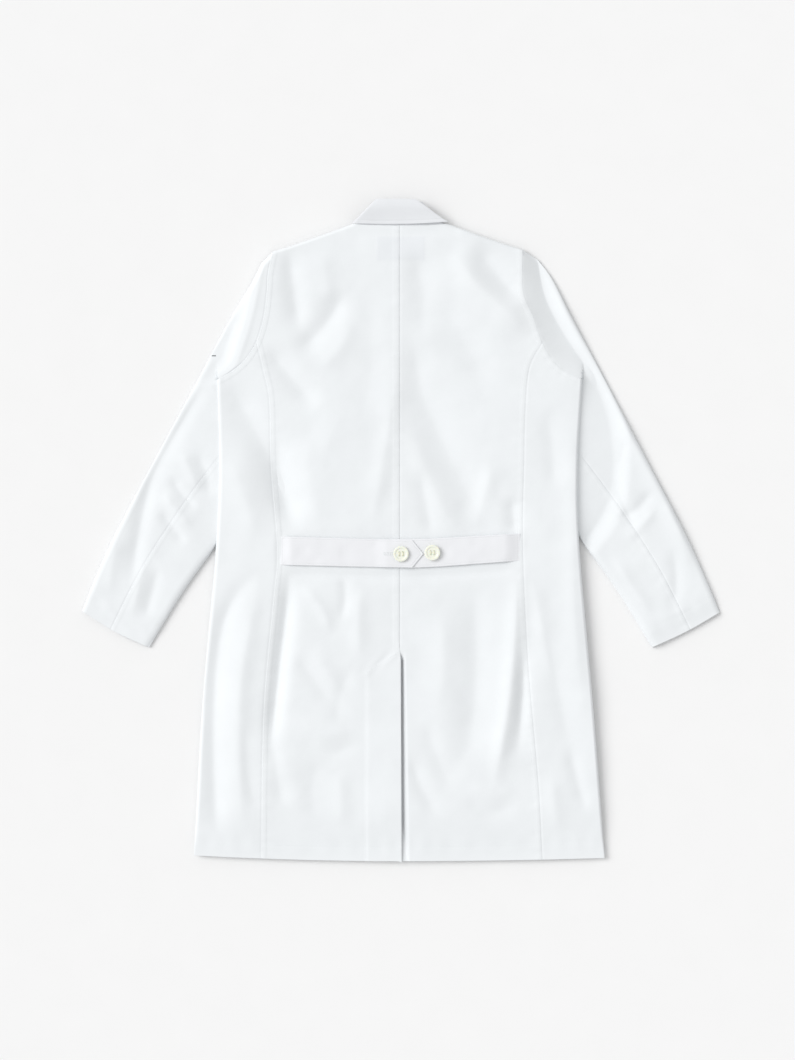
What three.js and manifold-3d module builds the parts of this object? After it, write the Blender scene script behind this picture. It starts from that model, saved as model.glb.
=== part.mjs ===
// Lab coat lying flat, back side up, with its sleeves beside the body.
//
// Millimetres, +Z up. X runs across the coat, Y runs from the hem to the collar, and the coat's
// front faces the table at Z = 0. The origin is the middle of the footprint, at table height.
// The wearer's left side is at -X. Every cloth piece is a closed solid of its own.

import * as THREE from 'three';
import { mergeVertices } from 'three/addons/utils/BufferGeometryUtils.js';
import Module from 'manifold-3d';

const wasm = await Module();
wasm.setup();
const { Manifold, Mesh: SolidMesh } = wasm;

// ---------------------------------------------------------------- driving dimensions

const CLOTH = 1.4; // one layer of cloth with its seam allowance
const SEAM_GAP = 0.3; // clearance between pieces that are sewn or lie together
const CURVE_STEPS = 10; // straight steps in one curved edge

const COAT_LENGTH = 1032; // hem to the roll line of the collar
const CHEST_HALF = 280; // half of the flat width under the arms
const HEM_HALF = 322; // half of the flat width at the hem
const HEM_CORNER_RISE = 7; // the side seams end this much above the middle of the hem
const SHOULDER_HALF = 188; // centre line to the shoulder tip
const SHOULDER_DROP = 78; // roll line of the collar down to the shoulder tip
const NECK_HALF = 78; // centre line to the neck end of the shoulder seam
const NECK_DROP = 38.6; // roll line of the collar down to the neck end of the shoulder seam
const NECK_DIP = 8; // how far the back neckline dips at the centre
const ARMHOLE_DEPTH = 205; // shoulder tip down to the armpit
const ARMPIT_OUT = 3; // the armpit stands out past the chest width

const PRINCESS_TOP = 157; // shoulder tip down to where the side-back seam meets the armhole
const PRINCESS_WAIST = 192; // centre line to the side-back seam at the waist
const PRINCESS_HEM = 218; // centre line to the side-back seam at the hem
const WAIST_HEIGHT = 486; // hem up to the waist
const CENTRE_SEAM_X = -1.5; // the centre-back seam lies a little to the wearer's left

const SLEEVE_LENGTH = 645; // shoulder tip to the outer corner of the cuff
const SLEEVE_ANGLE = -61.3; // direction of that line, degrees from +X
const SLEEVE_BOW = 14; // bulge of the outer edge at the elbow
const SLEEVE_HEAD = 26; // the sleeve head stands out past the shoulder tip
const CUFF_WIDTH = 118; // flat width of the cuff
const INNER_ANGLE = -56.5; // direction of the inner edge near the cuff
const ELBOW_SEAM_CUFF = 0.56; // elbow seam at the cuff, as a share of the cuff from its inner corner
const ELBOW_SEAM_BOW = 8; // bulge of the elbow seam
const SLEEVE_HEIGHT = 15; // thickness of the empty sleeve as it lies
const SLEEVE_ROUND = 5; // radius of the sleeve's long edges
const SLEEVE_GAP = 0.8; // clearance between the body and the sleeves, which swing

const POCKET_LOFT = 4.3; // hollow of an empty patch pocket
const BODY_HOLLOW = 11; // hollow between the front and the back of the coat
const BODY_ROUND = 4.6; // radius of the coat's side folds

const HIP_POCKET = { width: 190, height: 210, inner: 75, low: 116, corner: 20 };
const CHEST_POCKET = { width: 120, height: 145, inner: 90, low: 595, corner: 14 };

const FRONT_OVERLAP = 25; // each front runs this far past the centre line
const FACING_WIDTH = 75; // front edge facing, measured from the overlap edge of the other front
const BREAK_HEIGHT = 706; // hem up to where the lapels start to roll
const CORNER_TOP = 301; // hem up to where the outer front corner starts to fold
const CORNER_FOLD = 135; // width of that corner at the hem
const CORNER_RELIEF = 4; // the corner's free edge is set back so that it can turn

const BUTTON_DIAMETER = 24.5;
const BUTTON_THICK = 3;
const BUTTON_HOLE = 2.2; // diameter of each of the four thread holes
const BUTTON_HOLE_PITCH = 4; // from the centre to each thread hole
const THREAD = 1.4; // diameter of a bundle of sewing thread
const SHANK_DIAMETER = 2.6;
const SHANK_REST = 1.3; // air between a button and the cloth that it closes
const BUTTONHOLE_LENGTH = 29;
const BUTTONHOLE_WIDTH = 4;
const FRONT_BUTTONS = 4;
const FRONT_BUTTON_TOP = 691; // hem up to the top front button
const FRONT_BUTTON_PITCH = 120;

const BELT_WIDTH = 45;
const BELT_THICK = 1.8;
const BELT_INSET = 6; // the straps end this far inside the side-back seams
const BELT_LEFT = { endHeight: 483.5, tipX: 36.7, tipHeight: 477.5, point: 18 };
const BELT_RIGHT = { endHeight: 489, tipX: -24, tipHeight: 480 };
const BELT_BUTTON_X = [0.8, 49.5];

const VENT_HEIGHT = 326; // hem up to the top of the centre vent
const VENT_FOLD = 51; // width of the flap that lifts, at the hem
const VENT_UNDERLAP = 50; // how far the underlap reaches under the flap
const VENT_RELIEF = 3; // the lower right back panel stands clear of the flap's edge

const COLLAR_ROLL_HALF = 33; // half of the roll line that lies flat
const COLLAR_EDGE_HALF = 75; // half of the collar leaf's outer edge
const COLLAR_SIDE_BOW = 3; // the sides of the turned-down collar bulge out
const LABEL = { width: 75, height: 41, thick: 0.7, belowNeck: 10 };
const LOOP = { half: 26, tape: 6, sag: 11, thick: 1.2 };
const TACK = { length: 9, width: 3, thick: 0.6, along: 0.3, inset: 13 };

// ---------------------------------------------------------------- levels and key points

const HEM_Y = -COAT_LENGTH / 2;
const ROLL_Y = COAT_LENGTH / 2;
const FRONT_LOW = CLOTH + POCKET_LOFT + SEAM_GAP; // lower face of the front panels
const FRONT_HIGH = FRONT_LOW + CLOTH;
const FACING_LOW = FRONT_HIGH + SEAM_GAP;
const FACING_HIGH = FACING_LOW + CLOTH;
const STAND_LOW = FACING_HIGH + SEAM_GAP; // the underlapping front's facing lies on the other
const STAND_HIGH = STAND_LOW + CLOTH;
const BACK_LOW = FRONT_HIGH + BODY_HOLLOW; // lower face of the back panels
const BACK_HIGH = BACK_LOW + CLOTH;
const LAPEL_LOW = FRONT_LOW - SEAM_GAP - CLOTH; // lapels and collar ends lie under the fronts
const STRAP_LOW = BACK_HIGH + SEAM_GAP; // the belt straps lie on the back
const STRAP_HIGH = STRAP_LOW + BELT_THICK;
const FAR = COAT_LENGTH; // past every edge of the coat

const point = (x, y) => new THREE.Vector2(x, y);
const mirrored = (points) => points.map((p) => point(-p.x, p.y)).reverse();

const SHOULDER_TIP = point(SHOULDER_HALF, ROLL_Y - SHOULDER_DROP);
const NECK_POINT = point(NECK_HALF, ROLL_Y - NECK_DROP);
const ARMPIT = point(CHEST_HALF + ARMPIT_OUT, SHOULDER_TIP.y - ARMHOLE_DEPTH);
const BREAK_POINT = point(FRONT_OVERLAP, HEM_Y + BREAK_HEIGHT);

// ---------------------------------------------------------------- solids and shapes

/** A closed geometry as a solid. */
function toSolid(geometry) {
  const bare = geometry.clone();
  bare.deleteAttribute('normal');
  bare.deleteAttribute('uv');
  const merged = mergeVertices(bare, 1e-5);
  return new Manifold(
    new SolidMesh({
      numProp: 3,
      vertProperties: new Float32Array(merged.attributes.position.array),
      triVerts: new Uint32Array(merged.index.array),
    }),
  );
}

/** A flat outline raised from one level to another, with its edges rounded by `round`. */
function raise(outline, low, high, round = 0) {
  const shape = outline instanceof THREE.Shape ? outline : new THREE.Shape(outline);
  const geometry = new THREE.ExtrudeGeometry(shape, {
    depth: high - low - 2 * round,
    bevelEnabled: round > 0,
    bevelThickness: round,
    bevelSize: round,
    bevelOffset: -round,
    bevelSegments: 3,
    curveSegments: CURVE_STEPS,
  });
  geometry.translate(0, 0, low + round);
  return toSolid(geometry);
}

/** A round bar along Z. */
function bar(x, y, low, high, diameter, sides = 16) {
  const geometry = new THREE.CylinderGeometry(diameter / 2, diameter / 2, high - low, sides);
  geometry.rotateX(Math.PI / 2);
  geometry.translate(x, y, (low + high) / 2);
  return toSolid(geometry);
}

/** A rectangle's corners, anticlockwise. */
function rectangle(left, low, right, high) {
  return [point(left, low), point(right, low), point(right, high), point(left, high)];
}

/** A smooth edge through a few points. */
function smooth(points) {
  return new THREE.SplineCurve(points).getPoints(CURVE_STEPS);
}

/** A Bezier edge from one point to another. */
function bezier(from, first, second, to) {
  return new THREE.CubicBezierCurve(from, first, second, to).getPoints(CURVE_STEPS);
}

/** An edge between two points that bows to its left by `bow` in the middle. */
function bowed(from, to, bow) {
  const along = to.clone().sub(from);
  const middle = from.clone().lerp(to, 0.5);
  middle.add(point(-along.y, along.x).setLength(2 * bow));
  return new THREE.QuadraticBezierCurve(from, middle, to).getPoints(CURVE_STEPS);
}

/** A list of points moved by (dx, dy). */
const shifted = (points, dx, dy = 0) => points.map((p) => point(p.x + dx, p.y + dy));

const coat = new THREE.Group();

/** One named piece of the coat, from its solid and its finish. */
function addPiece(name, solid, finish) {
  const { vertProperties, triVerts } = solid.getMesh();
  const geometry = new THREE.BufferGeometry();
  geometry.setAttribute('position', new THREE.BufferAttribute(new Float32Array(vertProperties), 3));
  geometry.setIndex(new THREE.BufferAttribute(new Uint32Array(triVerts), 1));
  geometry.computeVertexNormals();
  const mesh = new THREE.Mesh(geometry, new THREE.MeshStandardMaterial(finish));
  mesh.name = name;
  coat.add(mesh);
}

const COTTON = { color: '#f1f5f6', roughness: 0.92, metalness: 0 };
const COLLAR_COTTON = { color: '#eaebef', roughness: 0.92, metalness: 0 };
const TAPE = { color: '#e6e8ea', roughness: 0.8, metalness: 0 };
const IVORY = { color: '#f2f2e0', roughness: 0.35, metalness: 0 };
const SEWING_THREAD = { color: '#e9e8dc', roughness: 0.85, metalness: 0 };
const DARK_THREAD = { color: '#4a4d52', roughness: 0.85, metalness: 0 };

// ---------------------------------------------------------------- body outline

/** The back edge of the armhole, from the armpit up to the shoulder tip. */
function armholeEdge() {
  const span = point(ARMPIT.x - SHOULDER_TIP.x, ARMHOLE_DEPTH);
  return bezier(
    ARMPIT,
    point(SHOULDER_TIP.x + 0.28 * span.x, ARMPIT.y + 0.08 * span.y),
    point(SHOULDER_TIP.x - 0.04 * span.x, SHOULDER_TIP.y - 0.33 * span.y),
    SHOULDER_TIP,
  );
}

/** The side fold of the body, from the hem up to the armpit. */
function sideEdge() {
  const waistY = HEM_Y + WAIST_HEIGHT;
  return smooth([
    point(HEM_HALF, HEM_Y + HEM_CORNER_RISE),
    point((HEM_HALF + CHEST_HALF) / 2, (HEM_Y + waistY) / 2),
    point(CHEST_HALF + 3, waistY),
    point(CHEST_HALF - 2, (waistY + ARMPIT.y) / 2),
    ARMPIT,
  ]);
}

/** The back neckline, from its right end to the left one. */
function neckEdge() {
  const left = point(-NECK_HALF, NECK_POINT.y);
  return bowed(NECK_POINT, left, NECK_DIP / 2);
}

/** The whole body: `wall` draws in the closed edges, and `out` pushes out the open ones. */
function bodyOutline(wall, out) {
  const hem = point(HEM_HALF - wall, HEM_Y + HEM_CORNER_RISE - out);
  const right = [hem, ...shifted(sideEdge().slice(wall ? 0 : 1), -wall)];
  if (out) {
    right.push(point(ARMPIT.x + out, ARMPIT.y - wall));
  }
  right.push(...shifted(armholeEdge().slice(1), out, -wall));
  if (out) {
    right.push(point(NECK_POINT.x - wall, NECK_POINT.y - wall), point(NECK_POINT.x - wall, ROLL_Y));
    return [point(0, HEM_Y - out), ...right, ...mirrored(right)];
  }
  return [point(0, HEM_Y), ...right, ...neckEdge(), ...mirrored(right)];
}

const OPEN_END = 20; // the hollow runs this far past the neck, hem and armholes
const bodyShell = raise(bodyOutline(0, 0), FRONT_LOW, BACK_HIGH, BODY_ROUND).subtract(
  raise(bodyOutline(CLOTH, OPEN_END), FRONT_HIGH, BACK_LOW, BODY_ROUND - CLOTH),
);

// ---------------------------------------------------------------- back and side panels

/** The side-back seam, from below the hem up past the armhole, `offset` to the outside. */
function princessEdge(offset) {
  const topX = SHOULDER_TIP.x + 0.37 * (ARMPIT.x - SHOULDER_TIP.x);
  const top = point(topX, SHOULDER_TIP.y - PRINCESS_TOP);
  const seam = smooth([
    point(PRINCESS_HEM, HEM_Y),
    point(PRINCESS_WAIST + 0.38 * (PRINCESS_HEM - PRINCESS_WAIST), HEM_Y + WAIST_HEIGHT / 2),
    point(PRINCESS_WAIST, HEM_Y + WAIST_HEIGHT),
    point(PRINCESS_WAIST + 4, (HEM_Y + WAIST_HEIGHT + top.y) / 2),
    point(PRINCESS_WAIST + 9, top.y - 0.3 * ARMHOLE_DEPTH),
    top,
  ]);
  return shifted([point(PRINCESS_HEM, HEM_Y - FAR), ...seam, point(top.x + 25, top.y + 65)], offset);
}

const PAST_SEAM = SEAM_GAP / 2;
const ventTop = point(CENTRE_SEAM_X, HEM_Y + VENT_HEIGHT);
const ventFoot = point(CENTRE_SEAM_X - VENT_FOLD, HEM_Y);
const backRegion = [
  point(-NECK_HALF, -FAR),
  ...princessEdge(-PAST_SEAM),
  point(FAR, FAR),
  point(-NECK_HALF, FAR),
];
const sideRegion = [...princessEdge(PAST_SEAM), point(FAR, ARMPIT.y + FAR), point(FAR, -FAR)];

for (const [side, sign] of [['left', -1], ['right', 1]]) {
  const place = (outline) => (sign > 0 ? outline : mirrored(outline));
  const back = bodyShell.intersect(raise(place(backRegion), FACING_LOW, FAR));
  const farSide = sign > 0
    ? rectangle(-FAR, -FAR, CENTRE_SEAM_X + PAST_SEAM, FAR)
    : rectangle(CENTRE_SEAM_X - PAST_SEAM, -FAR, FAR, FAR);
  const ventCut = sign > 0
    ? rectangle(CENTRE_SEAM_X, -FAR, CENTRE_SEAM_X + VENT_RELIEF, ventTop.y)
    : [
      ventTop,
      point(ventFoot.x - PAST_SEAM, HEM_Y),
      point(ventFoot.x, -FAR),
      point(0, -FAR),
      point(0, ventTop.y),
    ];
  const panel = back.subtract(raise(farSide, 0, FAR)).subtract(raise(ventCut, 0, FAR));
  addPiece(`back_panel_${side}`, panel, COTTON);

  const sidePanel = bodyShell.intersect(raise(place(sideRegion), FACING_LOW, FAR));
  addPiece(`side_panel_${side}`, sidePanel, COTTON);
}

// ---------------------------------------------------------------- centre vent

const flapOutline = [
  point(ventFoot.x + PAST_SEAM, HEM_Y),
  point(CENTRE_SEAM_X, HEM_Y),
  point(CENTRE_SEAM_X, ventTop.y - 2 * SEAM_GAP),
];
addPiece('vent_flap', raise(flapOutline, BACK_LOW, BACK_HIGH), COTTON);

const underlapHigh = BACK_LOW - SEAM_GAP;
const underlapOutline = [
  point(CENTRE_SEAM_X - VENT_UNDERLAP, HEM_Y + CLOTH),
  point(CENTRE_SEAM_X + 4 * VENT_RELIEF, HEM_Y + CLOTH),
  point(CENTRE_SEAM_X + 4 * VENT_RELIEF, ventTop.y + 4 * VENT_RELIEF),
  point(CENTRE_SEAM_X - VENT_RELIEF, ventTop.y + 4 * VENT_RELIEF),
  point(CENTRE_SEAM_X - VENT_UNDERLAP, ventTop.y - VENT_UNDERLAP / 2),
];
addPiece('vent_underlap', raise(underlapOutline, underlapHigh - CLOTH, underlapHigh), COTTON);

// ---------------------------------------------------------------- fronts, facings and lapels

const cornerTop = point(FRONT_OVERLAP - CORNER_RELIEF, HEM_Y + CORNER_TOP);
const cornerFoot = point(cornerTop.x - CORNER_FOLD, HEM_Y);
const cornerFold = [cornerTop, point(cornerFoot.x - PAST_SEAM, HEM_Y), point(cornerFoot.x, -FAR)];
const cornerCut = [...cornerFold, point(FAR, -FAR), point(FAR, cornerTop.y)];
const neckSlope = (NECK_POINT.x + FRONT_OVERLAP) / (NECK_POINT.y - BREAK_POINT.y);

/** Height at which a front's rolled edge is at `x` from the centre line, on its own side. */
const rollHeight = (x) => BREAK_POINT.y + (x + FRONT_OVERLAP) / neckSlope;

/** The heights of the front buttons, top one first. */
function frontButtonHeights() {
  const heights = [];
  for (let i = 0; i < FRONT_BUTTONS; i += 1) {
    heights.push(HEM_Y + FRONT_BUTTON_TOP - i * FRONT_BUTTON_PITCH);
  }
  return heights;
}

/** The slot of a buttonhole along X, centred on (x, y), through every layer below `high`. */
function buttonhole(x, y, high) {
  const halfLength = BUTTONHOLE_LENGTH / 2;
  const halfWidth = BUTTONHOLE_WIDTH / 2;
  return raise(rectangle(x - halfLength, y - halfWidth, x + halfLength, y + halfWidth), 0, high);
}

const slots = frontButtonHeights().map((y) => buttonhole(0, y, STAND_LOW - PAST_SEAM));
const holes = slots.reduce((all, slot) => all.add(slot));
const edgeX = FRONT_OVERLAP;
const outerFront = [
  point(-FAR, -FAR),
  point(edgeX, -FAR),
  BREAK_POINT,
  point(-NECK_POINT.x, NECK_POINT.y),
  point(-NECK_POINT.x, FAR),
  point(-FAR, FAR),
];
const innerFront = [
  point(edgeX + SEAM_GAP, -FAR),
  point(FAR, -FAR),
  point(FAR, FAR),
  point(NECK_POINT.x, FAR),
  NECK_POINT,
  point(edgeX + SEAM_GAP, rollHeight(edgeX + SEAM_GAP)),
];
const frontLeft = bodyShell.intersect(raise(outerFront, 0, FRONT_HIGH)).subtract(raise(cornerCut, 0, FAR));
addPiece('front_panel_left', frontLeft.subtract(holes), COTTON);
addPiece('front_panel_right', bodyShell.intersect(raise(innerFront, 0, FRONT_HIGH)), COTTON);

const facingTop = NECK_POINT.y - BODY_ROUND - 12;
const facingOutline = [
  point(-FACING_WIDTH, HEM_Y + CLOTH),
  point(edgeX, HEM_Y + CLOTH),
  BREAK_POINT,
  point(-NECK_POINT.x + 12 * neckSlope, facingTop),
  point(-NECK_POINT.x - 0.3 * FACING_WIDTH, facingTop),
  point(-FACING_WIDTH, BREAK_POINT.y),
];
const facingLeft = raise(facingOutline, FACING_LOW, FACING_HIGH);
addPiece('front_facing_left', facingLeft.subtract(raise(cornerCut, 0, FAR)).subtract(holes), COTTON);
addPiece('front_facing_right', raise(mirrored(facingOutline), STAND_LOW, STAND_HIGH), COTTON);

const cornerSlope = CORNER_FOLD / CORNER_TOP;
const cornerOutline = [
  point(cornerFoot.x + CLOTH * cornerSlope + SEAM_GAP, HEM_Y + CLOTH),
  point(cornerTop.x, HEM_Y + CLOTH),
  point(cornerTop.x, cornerTop.y - SEAM_GAP / cornerSlope),
];
addPiece('front_corner', raise(cornerOutline, FRONT_LOW, FACING_HIGH), COTTON);

/** A lapel folded out along the rolled edge of the front at -X. */
const lapelOutline = [
  BREAK_POINT,
  point(-NECK_POINT.x + 30 * neckSlope, NECK_POINT.y - 30),
  point(-NECK_POINT.x - 10, NECK_POINT.y - 78),
  point(-NECK_POINT.x - 44, NECK_POINT.y - 88),
];
const collarEndOutline = [
  point(-COLLAR_ROLL_HALF - 4, ROLL_Y - 12),
  point(-NECK_POINT.x - 8, NECK_POINT.y - 12),
  point(-NECK_POINT.x - 50, NECK_POINT.y - 62),
  point(-NECK_POINT.x - 11, NECK_POINT.y - 74),
  point(-NECK_POINT.x + 28 * neckSlope, NECK_POINT.y - 28),
];
const clearOfOverlap = raise(rectangle(edgeX + SEAM_GAP, -FAR, FAR, FAR), 0, FAR);
const leftLapel = raise([...lapelOutline].reverse(), LAPEL_LOW, LAPEL_LOW + CLOTH);
const rightLapel = raise(mirrored([...lapelOutline].reverse()), LAPEL_LOW, LAPEL_LOW + CLOTH);
addPiece('lapel_left', leftLapel, COTTON);
addPiece('lapel_right', rightLapel.intersect(clearOfOverlap), COTTON);
const leftEnd = raise([...collarEndOutline].reverse(), LAPEL_LOW, LAPEL_LOW + CLOTH);
const rightEnd = raise(mirrored([...collarEndOutline].reverse()), LAPEL_LOW, LAPEL_LOW + CLOTH);
addPiece('collar_end_left', leftEnd, COLLAR_COTTON);
addPiece('collar_end_right', rightEnd, COLLAR_COTTON);

// ---------------------------------------------------------------- patch pockets

/** A patch pocket's outline with rounded bottom corners, `wall` inside its edge. */
function pocketOutline(pocket, sign, wall, out) {
  const left = sign > 0 ? pocket.inner : -pocket.inner - pocket.width;
  const right = left + pocket.width - wall;
  const low = HEM_Y + pocket.low + wall;
  const high = HEM_Y + pocket.low + pocket.height + out;
  const corner = pocket.corner - wall;
  const shape = new THREE.Shape();
  shape.moveTo(left + wall + corner, low);
  shape.lineTo(right - corner, low);
  shape.absarc(right - corner, low + corner, corner, -Math.PI / 2, 0);
  shape.lineTo(right, high);
  shape.lineTo(left + wall, high);
  shape.absarc(left + wall + corner, low + corner, corner, Math.PI, 1.5 * Math.PI);
  return shape;
}

/** A patch pocket, hollow and open at its top edge. */
function patchPocket(pocket, sign) {
  const high = CLOTH + POCKET_LOFT;
  const hollow = raise(pocketOutline(pocket, sign, CLOTH, OPEN_END), CLOTH, FAR);
  return raise(pocketOutline(pocket, sign, 0, 0), 0, high).subtract(hollow);
}

addPiece('hip_pocket_left', patchPocket(HIP_POCKET, -1), COTTON);
addPiece('hip_pocket_right', patchPocket(HIP_POCKET, 1), COTTON);
addPiece('chest_pocket', patchPocket(CHEST_POCKET, -1), COTTON);

// ---------------------------------------------------------------- collar, label and hanging loop

const rollRight = point(COLLAR_ROLL_HALF, ROLL_Y);
const leafRight = point(COLLAR_EDGE_HALF, NECK_POINT.y);
const leafOutline = [
  ...bowed(point(-leafRight.x, leafRight.y), leafRight, -NECK_DIP / 4),
  ...bowed(leafRight, rollRight, COLLAR_SIDE_BOW).slice(1),
  ...bowed(point(-rollRight.x, rollRight.y), point(-leafRight.x, leafRight.y), COLLAR_SIDE_BOW).slice(0, -1),
];
addPiece('collar_leaf', raise(leafOutline, STRAP_LOW, STRAP_LOW + CLOTH), COLLAR_COTTON);

const neckRound = BODY_ROUND - Math.sqrt(BODY_ROUND ** 2 - (BODY_ROUND - CLOTH) ** 2);
const standOutline = [
  ...shifted(neckEdge(), 0, SEAM_GAP - neckRound).reverse().slice(1, -1),
  point(COLLAR_ROLL_HALF, ROLL_Y - CLOTH),
  point(-COLLAR_ROLL_HALF, ROLL_Y - CLOTH),
];
addPiece('collar_stand', raise(standOutline, BACK_LOW, BACK_HIGH), COLLAR_COTTON);

const neckCentreY = NECK_POINT.y - NECK_DIP / 2;
const labelTop = neckCentreY - LABEL.belowNeck;
const labelOutline = rectangle(-LABEL.width / 2, labelTop - LABEL.height, LABEL.width / 2, labelTop);
addPiece('neck_label', raise(labelOutline, underlapHigh - LABEL.thick, underlapHigh), TAPE);

const loopTop = labelTop - LABEL.height - SEAM_GAP;
const loopRight = point(LOOP.half, loopTop);
const loopLeft = point(-LOOP.half, loopTop);
const loopOutline = [
  ...bowed(
    point(loopLeft.x - LOOP.tape, loopTop),
    point(loopRight.x + LOOP.tape, loopTop),
    -LOOP.sag - LOOP.tape / 2,
  ),
  ...bowed(loopRight, loopLeft, LOOP.sag - LOOP.tape / 2),
];
addPiece('hanging_loop', raise(loopOutline, underlapHigh - LOOP.thick, underlapHigh), TAPE);

// ---------------------------------------------------------------- sleeves

/** The unit vector at an angle in degrees from +X. */
function direction(degrees) {
  const angle = THREE.MathUtils.degToRad(degrees);
  return point(Math.cos(angle), Math.sin(angle));
}

const cuffOuter = SHOULDER_TIP.clone().addScaledVector(direction(SLEEVE_ANGLE), SLEEVE_LENGTH);
const outerTop = point(SHOULDER_TIP.x + SLEEVE_HEAD, SHOULDER_TIP.y - 17);
const outerLine = cuffOuter.clone().sub(outerTop).normalize();
const cuffInner = cuffOuter.clone().addScaledVector(point(-outerLine.y, outerLine.x), -CUFF_WIDTH);
const sleeveSide = ARMPIT.x + SLEEVE_GAP;
const innerSlope = Math.tan(THREE.MathUtils.degToRad(INNER_ANGLE));
const innerTop = point(sleeveSide, cuffInner.y + (sleeveSide - cuffInner.x) * innerSlope);

/** The right sleeve's outline: `wall` draws in its long edges, and `out` pushes out its open ends. */
function sleeveOutline(wall, out) {
  const inward = point(outerLine.y, -outerLine.x).multiplyScalar(wall);
  const onward = outerLine.clone().multiplyScalar(out);
  const outer = bowed(cuffOuter, outerTop, -SLEEVE_BOW).map((p) => p.clone().add(inward));
  const head = point(SHOULDER_TIP.x + SLEEVE_GAP - out, SHOULDER_TIP.y - wall);
  const armhole = shifted(armholeEdge(), SLEEVE_GAP - out).reverse().slice(1);
  const outline = [cuffInner.clone().sub(inward).add(onward), cuffOuter.clone().add(inward).add(onward)];
  outline.push(...outer.slice(out ? 0 : 1), head, ...armhole);
  if (out) {
    outline.push(point(sleeveSide + wall, ARMPIT.y));
  }
  outline.push(point(innerTop.x + wall, innerTop.y));
  return outline;
}

const sleeveShell = raise(sleeveOutline(0, 0), 0, SLEEVE_HEIGHT, SLEEVE_ROUND).subtract(
  raise(sleeveOutline(CLOTH, OPEN_END), CLOTH, SLEEVE_HEIGHT - CLOTH, SLEEVE_ROUND - CLOTH),
);
const seamTop = point(sleeveSide - OPEN_END, innerTop.y + 0.6 * (ARMPIT.y - innerTop.y));
const seamFoot = cuffInner.clone().lerp(cuffOuter, ELBOW_SEAM_CUFF).addScaledVector(outerLine, OPEN_END);
const elbowSeam = bowed(seamTop, seamFoot, ELBOW_SEAM_BOW);
const topRegion = [
  ...shifted(elbowSeam, PAST_SEAM),
  point(FAR, seamFoot.y - FAR),
  point(FAR, FAR),
  point(-FAR, FAR),
];
const underRegion = [...shifted(elbowSeam, -PAST_SEAM), point(seamFoot.x, -FAR), point(-FAR, -FAR)];
const topSleeve = sleeveShell.intersect(raise(topRegion, -1, FAR));
const underSleeve = sleeveShell.intersect(raise(underRegion.reverse(), -1, FAR));

for (const [side, sign] of [['left', -1], ['right', 1]]) {
  const place = (solid) => (sign > 0 ? solid : solid.mirror([1, 0, 0]));
  addPiece(`top_sleeve_${side}`, place(topSleeve), COTTON);
  addPiece(`under_sleeve_${side}`, place(underSleeve), COTTON);
}

const tackAt = outerTop.clone().lerp(cuffOuter, TACK.along);
tackAt.addScaledVector(point(outerLine.y, -outerLine.x), TACK.inset);
const tackLow = SLEEVE_HEIGHT + SEAM_GAP;
const tackOutline = rectangle(
  -tackAt.x - TACK.length / 2,
  tackAt.y - TACK.width / 2,
  -tackAt.x + TACK.length / 2,
  tackAt.y + TACK.width / 2,
);
addPiece('sleeve_bar_tack', raise(tackOutline, tackLow, tackLow + TACK.thick), DARK_THREAD);

// ---------------------------------------------------------------- half belt

const strapEnd = PRINCESS_WAIST - BELT_INSET;
const halfBelt = BELT_WIDTH / 2;
const rightStrap = [
  point(BELT_RIGHT.tipX, HEM_Y + BELT_RIGHT.tipHeight - halfBelt),
  point(strapEnd, HEM_Y + BELT_RIGHT.endHeight - halfBelt),
  point(strapEnd, HEM_Y + BELT_RIGHT.endHeight + halfBelt),
  point(BELT_RIGHT.tipX, HEM_Y + BELT_RIGHT.tipHeight + halfBelt),
];
addPiece('half_belt_right', raise(rightStrap, STRAP_LOW, STRAP_HIGH), COTTON);

const leftStrap = [
  point(-strapEnd, HEM_Y + BELT_LEFT.endHeight - halfBelt),
  point(BELT_LEFT.tipX - BELT_LEFT.point, HEM_Y + BELT_LEFT.tipHeight - halfBelt),
  point(BELT_LEFT.tipX, HEM_Y + BELT_LEFT.tipHeight),
  point(BELT_LEFT.tipX - BELT_LEFT.point, HEM_Y + BELT_LEFT.tipHeight + halfBelt),
  point(-strapEnd, HEM_Y + BELT_LEFT.endHeight + halfBelt),
];
const overStrap = STRAP_HIGH + SEAM_GAP; // the left strap's lower face where it lies on the right one
const step = overStrap - STRAP_LOW;
const rampEnd = BELT_RIGHT.tipX - 1;
const rampStart = rampEnd - 6 * step;
const strapProfile = [
  point(-FAR, STRAP_LOW),
  point(rampStart, STRAP_LOW),
  point(rampEnd, overStrap),
  point(FAR, overStrap),
  point(FAR, overStrap + BELT_THICK),
  point(rampEnd, overStrap + BELT_THICK),
  point(rampStart, STRAP_HIGH),
  point(-FAR, STRAP_HIGH),
];
const strapSheet = raise(strapProfile, -FAR, FAR).rotate([90, 0, 0]);
const buttonY = HEM_Y + BELT_LEFT.tipHeight + 1.5;
const holeX = BELT_BUTTON_X[0] + (BUTTONHOLE_WIDTH - BUTTONHOLE_LENGTH) / 2; // button at the outer end
const leftSolid = raise(leftStrap, 0, FAR).intersect(strapSheet);
addPiece('half_belt_left', leftSolid.subtract(buttonhole(holeX, buttonY, FAR)), COTTON);

// ---------------------------------------------------------------- buttons

/** The corners of a button's square of thread holes, about (x, y). */
function threadHoles(x, y) {
  return [45, 135, 225, 315].map((a) => direction(a).multiplyScalar(BUTTON_HOLE_PITCH).add(point(x, y)));
}

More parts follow.
